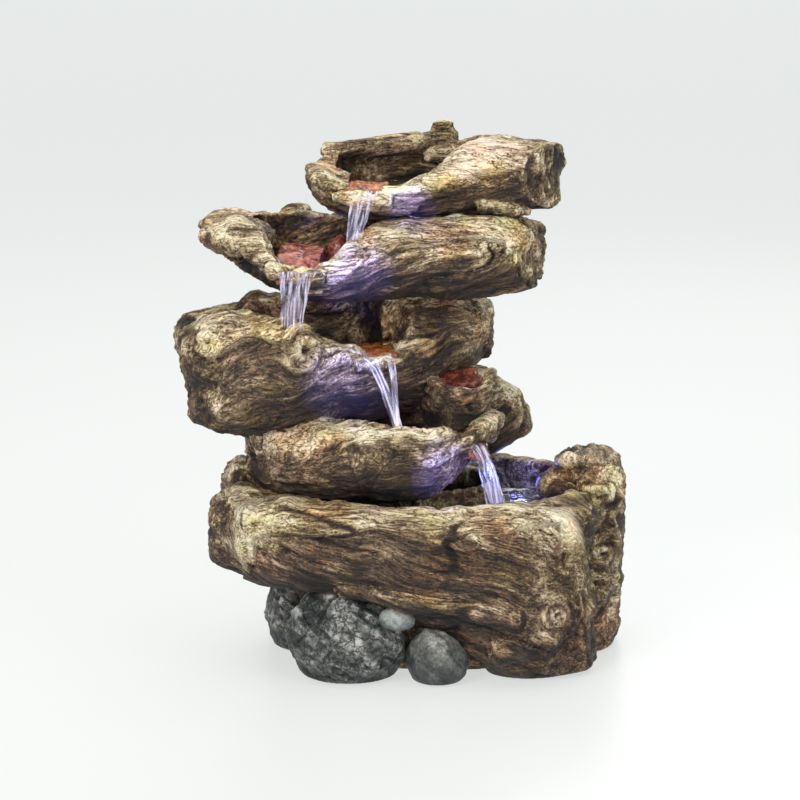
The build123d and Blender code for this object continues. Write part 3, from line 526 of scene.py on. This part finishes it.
for entry in frame["record"]["subparts"]:
    cad_piece = cad_nodes[entry["node"]]
    cad_piece.data.materials.clear()
    cad_piece.data.materials.append(FINISHES[entry["material_slot"]])


# ---------------------------------------------------------------- carved logs
def log_directions(yaw):
    """Unit vectors along and across a log that is turned by yaw, in degrees."""
    angle = math.radians(yaw)
    return np.array([math.cos(angle), math.sin(angle), 0]), np.array([-math.sin(angle), math.cos(angle), 0])


def in_oval(points, pool, grow=0.0):
    """1 inside a pool's upright-sided hollow, falling to 0 just outside it."""
    x, y, half_length, half_width, yaw, floor = pool
    along, across = log_directions(yaw)
    offset = points - np.array([x, y, 0])
    share = np.hypot(offset @ along / (half_length + grow), offset @ across / (half_width + grow))
    return smooth_step(1.06, 0.98, share) * (points[:, 2] > floor - 2)


def open_mouth(piece, x, y, heading, width, spill, left_reach, right_reach):
    """Lets the rims beside a mouth run down to its stone, within a reach on each side, in millimetres."""
    points, _ = read_points(piece.data)
    out, side = log_directions(heading)
    offset = points - np.array([x, y, 0])
    sideways = offset @ side
    reach = np.where(sideways < 0, left_reach, right_reach)
    near = 1 - smooth_step(-0.1, 1.0, (np.abs(sideways) - width / 2) / reach)
    near *= smooth_step(-8.0, 6.0, offset @ out)
    above = np.clip(points[:, 2] - spill, 0, None)
    points[:, 2] -= 0.92 * near * above
    write_points(piece.data, points)


def slant_end(piece, yaw, setback, length, sign=1):
    """Turns a log's end face towards the front: its front edge is set back along the log."""
    points, _ = read_points(piece.data)
    along, across = log_directions(yaw)
    s, t = sign * (points @ along), points @ across
    middle = (t.max() + t.min()) / 2
    half = (t.max() - t.min()) / 2
    share = smooth_step(0.35, -1.0, (t - middle) / half) * np.clip((s - s.max() + length) / length, 0, 1)
    points -= sign * along[None, :] * (setback * share)[:, None]
    write_points(piece.data, points)


def raise_keel(piece, yaw, start, length, height):
    """Sweeps a log's underside up towards one end, like the bow of a boat."""
    points, _ = read_points(piece.data)
    s = points @ log_directions(yaw)[0]
    low, high = points[:, 2].min(), points[:, 2].max()
    sweep = np.clip((s - start) / length, 0, 1) ** 1.3
    points[:, 2] += height * sweep * (1 - np.clip((points[:, 2] - low) / (high - low), 0, 1))
    write_points(piece.data, points)


def round_top(piece, x, y, radius, low, high):
    """Draws in whatever stands above a height round an upright axis, so that it ends in a dome."""
    points, _ = read_points(piece.data)
    offset = points[:, :2] - np.array([x, y])
    share = smooth_step(low, high, points[:, 2]) * (np.hypot(offset[:, 0], offset[:, 1]) < radius)
    points[:, :2] -= 0.22 * offset * share[:, None]
    points[:, 2] -= 0.012 * np.hypot(offset[:, 0], offset[:, 1]) ** 2 * share
    write_points(piece.data, points)


def rim_above(s, heights, front):
    """The height of the front rim over each point: the top of its slice across the log, evened out."""
    slices = np.round((s - s.min()) / 5.0).astype(int)
    tops = np.full(slices.max() + 1, heights[front].min())
    np.maximum.at(tops, slices[front], heights[front])
    tops = np.convolve(np.pad(tops, 3, mode="edge"), np.ones(7) / 7, mode="valid")
    return tops[slices]


def knot_rings(away, along, across, radius, seed):
    """The whorls of one knot: their height, and where they take over from the grain."""
    reach = np.sqrt((away @ along) ** 2 + away[:, 2] ** 2 + 0.25 * (away @ across) ** 2) + 1e-6
    turn = np.arctan2(away[:, 2], away @ along)
    wound = reach * 9.0 / radius + turn + 0.9 * noise(away / 7.0, seed)
    hold = smooth_step(1.5 * radius, 0.8 * radius, np.linalg.norm(away, axis=1))
    mound = 1.4 * smooth_step(radius, 0.2 * radius, reach) - 4.0 * smooth_step(0.30 * radius, 0.0, reach)
    return hold * (1.1 * np.cos(wound) + mound), hold, reach


def carve_bark(
    piece,
    yaw,
    seed,
    knots=(),
    slope=0.0,
    depth=1.0,
    pool=None,
    lumps=3.0,
    faces=1.0,
    band=0.0,
    lift=0.0,
    swirl=1.0,
):
    """Carves grain, cracks, knots and broken ends into a piece, and stores what its paint follows, painted
    light and shade included.

    yaw is the way that the grain runs, in degrees. Knots are (x, y, z, radius) in millimetres. slope tilts
    the grain on the front, as rise over run. depth scales the carving, lumps its broad swellings, and faces
    the chipping of the broken ends. band is the depth of the pale plank along the front rim. lift adds to
    the paint's tone, and swirl bends the grain.
    """
    data = piece.data
    points, normals = read_points(data)
    along, across = log_directions(yaw)
    offset = points - (points.max(0) + points.min(0)) / 2
    s, t, w = offset @ along, offset @ across, offset[:, 2]
    facing = np.abs(normals @ along)
    inside = in_oval(points, pool) if pool else np.zeros(len(points))
    below_rim = rim_above(s, points[:, 2], t < -14 if band else t < 1e9) - points[:, 2]
    plank = smooth_step(band + 2.0, band - 2.0, below_rim + 0.06 * s + 3.5 * noise(points / 20.0, seed + 95))
    plank *= smooth_step(-4.0, -14.0, t) * (1 - inside) * (band > 0)
    wander = points / 55.0
    w_sway = 7.0 * noise(wander, seed) + 2.4 * noise(points / 19.0, seed + 3)
    t_sway = 6.0 * noise(wander + 31.0, seed + 5) + 2.2 * noise(points / 17.0, seed + 6)
    w_grain = w - slope * (1 - 0.85 * plank) * s + swirl * w_sway
    t_grain = t + swirl * t_sway
    rings, ring_weight = np.zeros(len(points)), np.zeros(len(points))
    for index, (x, y, z, radius) in enumerate(knots):
        away = points - np.array([x, y, z])
        ring, hold, reach = knot_rings(away, along, across, radius, seed + 11 + index)
        near = np.exp(-((np.linalg.norm(away, axis=1) / (3.2 * radius)) ** 2))
        w_grain -= away[:, 2] * near * radius**2 / (reach**2 + 0.35 * radius**2) * 1.6
        rings += ring
        ring_weight = np.maximum(ring_weight, hold)
    broad = ridged(np.stack([s / 60.0, t_grain / 9.0, w_grain / 9.0], axis=1), seed + 20, 2)
    fine = ridged(np.stack([s / 30.0, t_grain / 3.6, w_grain / 3.6], axis=1), seed + 30, 2)
    crack_points = np.stack([s / 80.0, t_grain / 15.0, w_grain / 15.0], axis=1)
    crack = smooth_step(0.10, 0.0, np.abs(noise(crack_points, seed + 40)))
    crack *= smooth_step(-0.15, 0.3, noise(wander * 1.7, seed + 41))
    grain_height = (1.2 - 0.7 * plank) * broad + 0.75 * fine - 2.8 * crack
    face_height = 2.0 * rough(points / 11.0, seed + 50, 4) + 1.2 * ridged(points / 6.5, seed + 60, 2)
    patches = 0.65 * swirl * smooth_step(0.20, 0.55, noise(points / 26.0, seed + 70)) * (1 - plank)
    face = np.clip(smooth_step(0.62, 0.88, facing) * faces + patches, 0, 1) * (1 - ring_weight)
    height = (1 - face) * (1 - 0.8 * ring_weight) * grain_height + face * face_height + rings
    bed = inside * smooth_step(0.5, 0.9, normals[:, 2])
    foot = smooth_step(0.5, 6.0, points[:, 2])
    swelling = rough(points / 38.0, seed + 80, 2) + 0.5 * noise(points / 15.0, seed + 84)
    form = lumps * swelling * (1 - 0.5 * plank)
    crest = lumps * smooth_step(9.0, 0.0, below_rim) * noise(points / 11.0, seed + 86) * (1 - inside)
    raised = depth * height * (1 - 0.75 * bed) + (form + crest) * (1 - 0.8 * inside) + 1.8 * plank + 0.4
    carved = points + normals * (raised * foot)[:, None]
    carved[:, 2] = np.maximum(carved[:, 2], LOWEST)
    write_points(data, carved)
    edge = smooth_step(0.25, 0.5, facing) * smooth_step(0.85, 0.6, facing) * faces
    under = smooth_step(0.15, -0.75, normals[:, 2])
    # painted light: 0.10 * normals[:, 2] paints upward faces lighter; the rest of tone is the dry-brushed
    # paint, the plank, the chipped ends and random mottling
    tone = 0.50 + lift + 0.16 * height + 0.10 * normals[:, 2] + 0.16 * rough(points / 26.0, seed + 90, 3)
    tone += 0.20 * plank + 0.12 * edge - 0.10 * face * (1 - edge) + 0.05 * ring_weight
    # painted shade: undersides are painted darker
    tone -= 0.12 * under + 0.06 * inside
    write_value(data, "tone", np.clip(tone, 0, 1))
    write_value(data, "wet", 0.9 * inside)
    # shade is painted shade on undersides and on the face below the pale plank; the bark paint tints it
    # violet-grey, which also stands in for the violet pool light
    below_band = smooth_step(band, band + 12.0, below_rim) * (band > 0)
    write_value(data, "shade", np.clip(0.75 * under + 0.35 * below_band, 0, 1))
    grain_scale = np.where(face[:, None] > 0.5, [[0.35, 0.35, 0.35]], [[0.08, 0.55, 0.55]])
    write_vector(data, "grain", np.stack([s, t_grain, w_grain], axis=1) * grain_scale)


# Each pool's middle, half length, half width, yaw and floor height, in millimetres and degrees.
POOL_1 = (4, -6, 50, 33, -8, 307)
POOL_2 = (-58, -24, 44, 36, 0, 259)
POOL_3 = (-58, -34, 46, 27, 27, 204)
POOL_4 = (-8, -42, 48, 29, 0, 144)
RISER = (8, 12)  # the hose's place
DUCT = 16.6  # the radius of the way through the logs that it runs in

first = own_mesh("first_log")
add_plug(first, *RISER, DUCT, 290, 300)
add_rod(first, (-50, 13, 336), (24, 24, 343), 6, 7)
add_rod(first, (58, -42, 306), (86, -36, 303), 6, 5)
add_rod(first, (-40, -49, 311.5), (-12, -50, 311.5), 4, 4)
first = voxel_skin(first, "carved_first_log", 1.15)
open_mouth(first, -24, -24, -95, 25, 316, 44, 62)
open_mouth(first, -32, -14, 188, 34, 325, 8, 12)
slant_end(first, -8, 26, 70)
raise_keel(first, 172, 28, 36, 8)
round_top(first, 25, 25, 16, 343, 356)
carve_bark(first, -8, 10, slope=0.10, pool=POOL_1, lumps=2.0, band=19, lift=0.05, swirl=0.6)
settle(first, ["first_log"], bark_finish)

second = own_mesh("second_log")
add_plug(second, *RISER, DUCT, 240, 252)
add_plug(second, *RISER, DUCT, 290, 298.9)
add_plug(second, -40, -24, 8.2, 251, 258.6)
add_lump(second, (-105, -24, 279), (21, 27, 17))
add_rod(second, (-122, -16, 284), (-130, -16, 286), 4, 2)
add_lump(second, (-96, 18, 287), (12, 10, 10))
add_lump(second, (-74, 24, 289), (13, 10, 10))
add_rod(second, (-84, -65, 263.5), (-55, -66, 263.5), 4, 4)
second = voxel_skin(second, "carved_second_log", 1.25)
open_mouth(second, -68, -44, -92, 28, 268, 12, 26)
slant_end(second, -5, 20, 60)
raise_keel(second, 175, 48, 75, 26)
carve_bark(second, -5, 110, slope=0.36, pool=POOL_2, lumps=2.4, band=17, lift=0.02, swirl=0.6)
settle(second, ["second_log"], bark_finish)

third = own_mesh("third_log")
add_plug(third, *RISER, DUCT, 170, 184)
add_plug(third, *RISER, DUCT, 240, 249.9)
add_plug(third, -66, -50, 8.2, 196, 203.6)
add_lump(third, (-118, -62, 214), (26, 30, 28))
add_lump(third, (-114, -66, 184), (24, 26, 20))
add_lump(third, (-90, -64, 226), (26, 18, 11))
add_lump(third, (-72, 0, 236), (36, 12, 8))
add_rod(third, (-29, -64, 207.5), (-4, -62, 207.5), 4, 4)
third = voxel_skin(third, "carved_third_log", 1.25)
open_mouth(third, -20, -28, -84, 23, 212, 44, 16)
slant_end(third, 27, 22, 60)
third_knots = [(-64, -77, 218, 13), (-124, -88, 226, 8)]
carve_bark(third, 27, 210, knots=third_knots, slope=0.24, pool=POOL_3, lumps=3.4, band=9, swirl=1.2)
settle(third, ["third_log"], bark_finish)

ledge = own_mesh("side_ledge")
add_lump(ledge, (48, -36, 188), (10, 12, 9))
add_lump(ledge, (24, -44, 182), (9, 8, 9))
ledge = voxel_skin(ledge, "carved_side_ledge", 1.0)
open_mouth(ledge, 34, -36, -80, 20, 189, 16, 16)
carve_bark(ledge, 20, 310, slope=0.2, lumps=1.5, depth=0.8)
settle(ledge, ["side_ledge"], bark_finish)

fourth = own_mesh("fourth_log")
add_lump(fourth, (-84, -48, 156), (16, 16, 12))
add_lump(fourth, (-96, -36, 146), (8, 12, 11))
add_rod(fourth, (39, -62, 148.5), (49, -47, 148.5), 4, 4)
fourth = voxel_skin(fourth, "carved_fourth_log", 1.25)
open_mouth(fourth, 18, -38, -30, 17, 153, 14, 30)
raise_keel(fourth, 8, 6, 36, 34)
carve_bark(fourth, 8, 410, slope=0.16, pool=POOL_4, lumps=2.6, band=13)
settle(fourth, ["fourth_log"], bark_finish)

fourth_stump = voxel_skin(own_mesh("fourth_stump"), "carved_fourth_stump", 1.1)
carve_bark(fourth_stump, 16, 510, slope=0.5, lumps=2.4)
settle(fourth_stump, ["fourth_stump"], bark_finish)

front = own_mesh("basin_front_log")
add_rod(front, (-96, -74, 106), (40, -92, 96), 7, 6)
add_rod(front, (-40, -88, 66), (70, -92, 48), 6, 8)
add_rod(front, (62, -88, 24), (104, -84, 30), 9, 8)
front = voxel_skin(front, "carved_basin_front_log", 1.25)
slant_end(front, 0, 16, 50)
carve_bark(front, 0, 610, knots=[(97, -86, 46, 8)], slope=-0.30, lumps=3.4, band=12, swirl=0.6, depth=0.9)
settle(front, ["basin_front_log"], bark_finish)

left_stump = own_mesh("basin_left_stump")
add_lump(left_stump, (-114, -24, 108), (10, 14, 14))
add_lump(left_stump, (-108, -30, 122), (9, 8, 11))
left_stump = voxel_skin(left_stump, "carved_basin_left_stump", 1.1)
carve_bark(left_stump, 90, 710, slope=-0.3, lumps=2.6)
settle(left_stump, ["basin_left_stump"], bark_finish)

right_stump = own_mesh("basin_right_stump")
add_lump(right_stump, (104, 6, 108), (14, 20, 15))
add_lump(right_stump, (134, -8, 112), (13, 16, 14))
add_lump(right_stump, (140, -4, 80), (8, 18, 18))
add_lump(right_stump, (128, -22, 46), (12, 10, 22))
right_stump = voxel_skin(right_stump, "carved_basin_right_stump", 1.2)
carve_bark(right_stump, 90, 810, knots=[(126, -24, 112, 9), (134, -24, 70, 8)], slope=-0.2, lumps=3.2)
settle(right_stump, ["basin_right_stump"], bark_finish)

bowl = voxel_skin(own_mesh("basin_bowl"), "carved_basin_bowl", 1.5)
carve_bark(bowl, 0, 910, slope=0.05, lumps=0.8, depth=0.7, faces=0.0)
settle(bowl, ["basin_bowl"], bark_finish)

pedestal = voxel_skin(own_mesh("pump_pedestal"), "carved_pump_pedestal", 1.4)
carve_bark(pedestal, 90, 1010, lumps=0.0, depth=0.5, faces=0.0)
settle(pedestal, ["pump_pedestal"], bark_finish)

cover = voxel_skin(own_mesh("access_cover"), "carved_access_cover", 1.0)
carve_bark(cover, 0, 1110, lumps=0.0, depth=0.5, faces=0.0)
settle(cover, ["access_cover"], bark_finish, "cover")


# ---------------------------------------------------------------- rocks and stones
def carve_rock(piece, seed, relief, chips):
    """Chips, fissures and pits a rock, and stores what its paint follows, with painted light on its upward
    faces.
    """
    data = piece.data
    points, normals = read_points(data)
    skewed = points @ np.array([[1, 0, 0.7], [0, 1, 0.2], [-0.6, 0.1, 1]])
    crests = ridged(skewed / np.array([30.0, 20.0, 9.0]), seed, 3)
    fissures = smooth_step(0.09, 0.0, np.abs(noise(skewed / np.array([24.0, 20.0, 13.0]), seed + 30)))
    pits = rough(points / 6.0, seed + 10, 3)
    form = noise(points / 26.0, seed + 20)
    height = 1.1 * crests - 1.3 * fissures
    raised = relief * (2.0 * form + 0.8 * height) + chips * pits
    foot = smooth_step(0.5, 5.0, points[:, 2])
    carved = points + normals * ((raised + 0.3) * foot)[:, None]
    carved[:, 2] = np.maximum(carved[:, 2], LOWEST)
    write_points(data, carved)
    # painted light: 0.30 * normals[:, 2] paints upward faces lighter; crests and pits are the dry-brushed
    # paint
    tone = 0.42 + min(relief, 1.5) * 0.17 * height + 0.14 * pits * min(chips, 1) + 0.30 * normals[:, 2]
    write_value(data, "tone", np.clip(tone, 0, 1))


# Each rock's finish, slot, mesh size in millimetres, relief and chips.
ROCKS = {
    "rock_large": (rock_finish, "cast_rock", 1.0, 1.4, 0.8),
    "rock_left": (rock_finish, "cast_rock", 1.1, 1.3, 0.8),
    "rock_round": (smooth_rock_finish, "cast_rock", 0.9, 0.5, 0.35),
    "rock_pebble": (pebble_finish, "cast_pebble", 0.8, 0.3, 0.2),
}
PEBBLE_HEIGHT = 0.62
for number, (node, (finish, slot_name, voxel, relief, chips)) in enumerate(ROCKS.items()):
    rock = voxel_skin(own_mesh(node), f"painted_{node}", voxel)
    if node == "rock_pebble":
        places, _ = read_points(rock.data)
        top = places[:, 2].max()
        places[:, 2] = top - PEBBLE_HEIGHT * (top - places[:, 2])
        write_points(rock.data, places)
    carve_rock(rock, 1200 + 50 * number, relief, chips)
    settle(rock, [node], finish)

# Each stone's finish, and how much its top rises towards the back, as rise over run.
STONES = {
    "spill_stone_1": (orange_finish, 0.20),
    "spill_stone_2": (red_finish, 0.55),
    "spill_stone_3": (orange_finish, 0.10),
    "spill_stone_4": (dark_red_finish, 0.0),
    "ledge_stone": (dark_red_finish, 0.30),
    "pool_stone": (red_finish, 0.0),
}
for number, (node, (finish, rise)) in enumerate(STONES.items()):
    stone = voxel_skin(own_mesh(node), f"wet_{node}", 0.8)
    places, _ = read_points(stone.data)
    low, high = places.min(0), places.max(0)
    lifted = np.clip(places[:, 1] - low[1] - 5.0, 0, 14.0) * (places[:, 2] - low[2]) / (high[2] - low[2])
    places[:, 2] += rise * lifted
    if node == "ledge_stone":
        places[:, 0] += 0.25 * (places[:, 0] - (low[0] + high[0]) / 2)
    write_points(stone.data, places)
    carve_rock(stone, 1500 + 50 * number, 0.9, 0.8)
    settle(stone, [node], finish)


# ---------------------------------------------------------------- water
def unit_grid(columns, rows):
    """A flat grid from -1 to 1 each way, and its corner positions."""
    mesh = bmesh.new()
    bmesh.ops.create_grid(mesh, x_segments=columns, y_segments=rows, size=1)
    data = bpy.data.meshes.new("sheet")
    mesh.to_mesh(data)
    mesh.free()
    places = np.empty(len(data.vertices) * 3, np.float32)
    data.vertices.foreach_get("co", places)
    places = places.reshape(-1, 3).astype(float)
    return data, places[:, 0], places[:, 1]


def finish_sheet(data, name, points, flow, material):
    """Turns a shaped grid into a thin closed sheet of water."""
    write_points(data, points)
    write_vector(data, "flow", flow)
    data.name = name
    piece = bpy.data.objects.new(name, data)
    bpy.context.scene.collection.objects.link(piece)
    solid = piece.modifiers.new("thickness", "SOLIDIFY")
    solid.thickness = WATER_SKIN * MM
    solid.offset = 0
    settle(piece, [], material)


def pour(name, lip, landing, lip_width, landing_width, seed, facing):
    """A fall that runs over a stone to its lip and drops to the pool below, in millimetres.

    facing is the direction that the water is thrown in, in degrees.
    """
    data, u, v = unit_grid(28, 56)
    travel = (1 - v) / 2
    run_share = 0.16
    drop = np.clip((travel - run_share) / (1 - run_share), 0, 1)
    run = np.clip(1 - travel / run_share, 0, 1)
    lip, landing = np.array(lip, float), np.array(landing, float)
    along, side = log_directions(facing)
    path = np.stack([drop, drop**0.8, drop**1.6], axis=1)
    centre = lip[None, :] + (landing - lip)[None, :] * path - along[None, :] * (12.0 * run)[:, None]
    centre[:, 2] += 0.8 * run - 0.6
    width = lip_width + (landing_width - lip_width) * drop**0.7
    edge = np.stack([np.zeros(len(u)), travel * 7, np.sign(u)], axis=1)
    points = centre + side[None, :] * (u * width / 2 * (1 + 0.14 * noise(edge, seed)))[:, None]
    ripple = 1.3 * noise(np.stack([u * 4.5, travel * 2.2, np.zeros(len(u))], axis=1), seed + 1) * (1 - run)
    bulge = 1.6 * (1 - u**2) * (1 - drop) * (1 - run)
    points += along[None, :] * (ripple + bulge)[:, None]
    flow = np.stack([u * width / 2 * 0.62, travel * 3.0, np.full(len(u), float(seed))], axis=1)
    finish_sheet(data, name, points, flow, fall_finish)


def pool_surface(name, pool, level, seed):
    """The rippled water in an oval pool, at a level."""
    x, y, half_length, half_width, yaw, floor = pool
    data, u, v = unit_grid(60, 60)
    disc_u, disc_v = u * np.sqrt(1 - v * v / 2), v * np.sqrt(1 - u * u / 2)
    along, across = log_directions(yaw)
    points = np.array([x, y, level], float) + np.outer(disc_u * (half_length + 1), along)
    points += np.outer(disc_v * (half_width + 1), across)
    points[:, 2] += 0.5 * noise(points / 9.0, seed)
    finish_sheet(data, name, points, points / 11.0, pool_finish)


pour("fall_first", (-26, -55, 317.0), (-34.5, -58, 270), 20, 7, 21, -95)
pour("fall_second", (-69, -71, 269.0), (-73, -74, 213), 28, 9, 22, -92)
pour("fall_third", (-25, -69, 213.0), (-1, -72, 154), 7, 6, 23, -84)
pour("fall_third_strand", (-10, -68, 213.0), (-4, -71, 154), 5, 2.5, 25, -84)
pour("fall_fourth", (46, -58, 154.0), (61, -63, 101), 11, 19, 24, -40)
BASIN_POOL = (9, 5, 110, 80, 0, 45)
pool_surface("water_first_pool", POOL_1, 317.0, 31)
pool_surface("water_second_pool", POOL_2, 269.0, 32)
pool_surface("water_third_pool", POOL_3, 213.0, 33)
pool_surface("water_fourth_pool", POOL_4, 154.0, 34)
pool_surface("water_basin", BASIN_POOL, 101.0, 35)


# ---------------------------------------------------------------- stage, light and camera
def lamp(name, kind, place, color, power, size, target=None):
    """A light at a place in metres, turned towards target. size is its width, or a spot's cone in degrees."""
    data = bpy.data.lights.new(name, kind)
    data.color = color
    data.energy = power
    if kind == "AREA":
        data.size = size
    elif kind == "SPOT":
        data.spot_size = math.radians(size)
        data.spot_blend = 1.0
        data.shadow_soft_size = 0.004
    else:
        data.shadow_soft_size = size
    made = bpy.data.objects.new(name, data)
    made.location = place
    made.visible_camera = False
    if target is not None:
        made.rotation_euler = (Vector(target) - Vector(place)).to_track_quat("-Z", "Y").to_euler()
    bpy.context.scene.collection.objects.link(made)


def pale_floor():
    """A wide pale floor."""
    mesh = bmesh.new()
    bmesh.ops.create_grid(mesh, x_segments=1, y_segments=1, size=30)
    data = bpy.data.meshes.new("floor")
    mesh.to_mesh(data)
    mesh.free()
    floor = bpy.data.objects.new("floor", data)
    bpy.context.scene.collection.objects.link(floor)
    paint = Shader("floor_paint", 0.35)
    paint.surface.inputs["Base Color"].default_value = (0.22, 0.224, 0.22, 1)
    paint.surface.inputs["Emission Color"].default_value = (0.97, 1.0, 0.98, 1)
    paint.surface.inputs["Emission Strength"].default_value = 0.60
    data.materials.append(paint.material)
    floor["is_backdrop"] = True


pale_floor()
HEART = (0, -0.02, 0.17)
lamp("overhead", "AREA", (0.0, -0.1, 1.9), (1, 1, 1), 24, 1.6, HEART)
lamp("key", "AREA", (-1.1, -1.5, 1.25), (1, 0.97, 0.92), 25, 0.7, HEART)
lamp("front", "AREA", (0.25, -1.7, 0.22), (1, 0.96, 0.95), 6, 0.9, HEART)
lamp("fill", "AREA", (1.5, -1.2, 0.8), (0.97, 0.98, 1.0), 10, 1.0, HEART)
lamp("back", "AREA", (0.5, 1.4, 1.2), (1, 1, 1), 8, 1.0, HEART)
VIOLET = (0.17, 0.21, 1.0)
# Each pool light's glow on the log beside its fall: where it lands, its cone in degrees and its power.
GLOWS = {
    "first": ((0.004, -0.050, 0.306), 17, 2.5),
    "second": ((-0.032, -0.064, 0.265), 27, 3.2),
    "third": ((-0.040, -0.070, 0.196), 31, 2.4),
    "fourth": ((0.023, -0.072, 0.138), 22, 3.8),
}
GLOW_STANDOFF = Vector((0.012, -0.120, -0.010))
for glow_name, (target, cone, power) in GLOWS.items():
    lamp("glow_" + glow_name, "SPOT", Vector(target) + GLOW_STANDOFF, VIOLET, power, cone, target)
lamp("glow_basin", "POINT", (0.078, 0.030, 0.113), VIOLET, 0.08, 0.006)

world = bpy.data.worlds.new("studio")
world.use_nodes = True
world.node_tree.nodes["Background"].inputs["Color"].default_value = (0.93, 0.95, 0.94, 1)
world.node_tree.nodes["Background"].inputs["Strength"].default_value = 0.5
bpy.context.scene.world = world
bpy.context.scene.view_settings.view_transform = "Standard"

CAMERA_PLACE = (-0.0035, -1.497, 0.489)
CAMERA_TILT = 78
camera_data = bpy.data.cameras.new("camera")
camera_data.lens = 102.6
camera_data.sensor_width = 36
camera = bpy.data.objects.new("camera", camera_data)
camera.location = CAMERA_PLACE
camera.rotation_euler = (math.radians(CAMERA_TILT), 0, 0)
bpy.context.scene.collection.objects.link(camera)
bpy.context.scene.camera = camera

low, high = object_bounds()
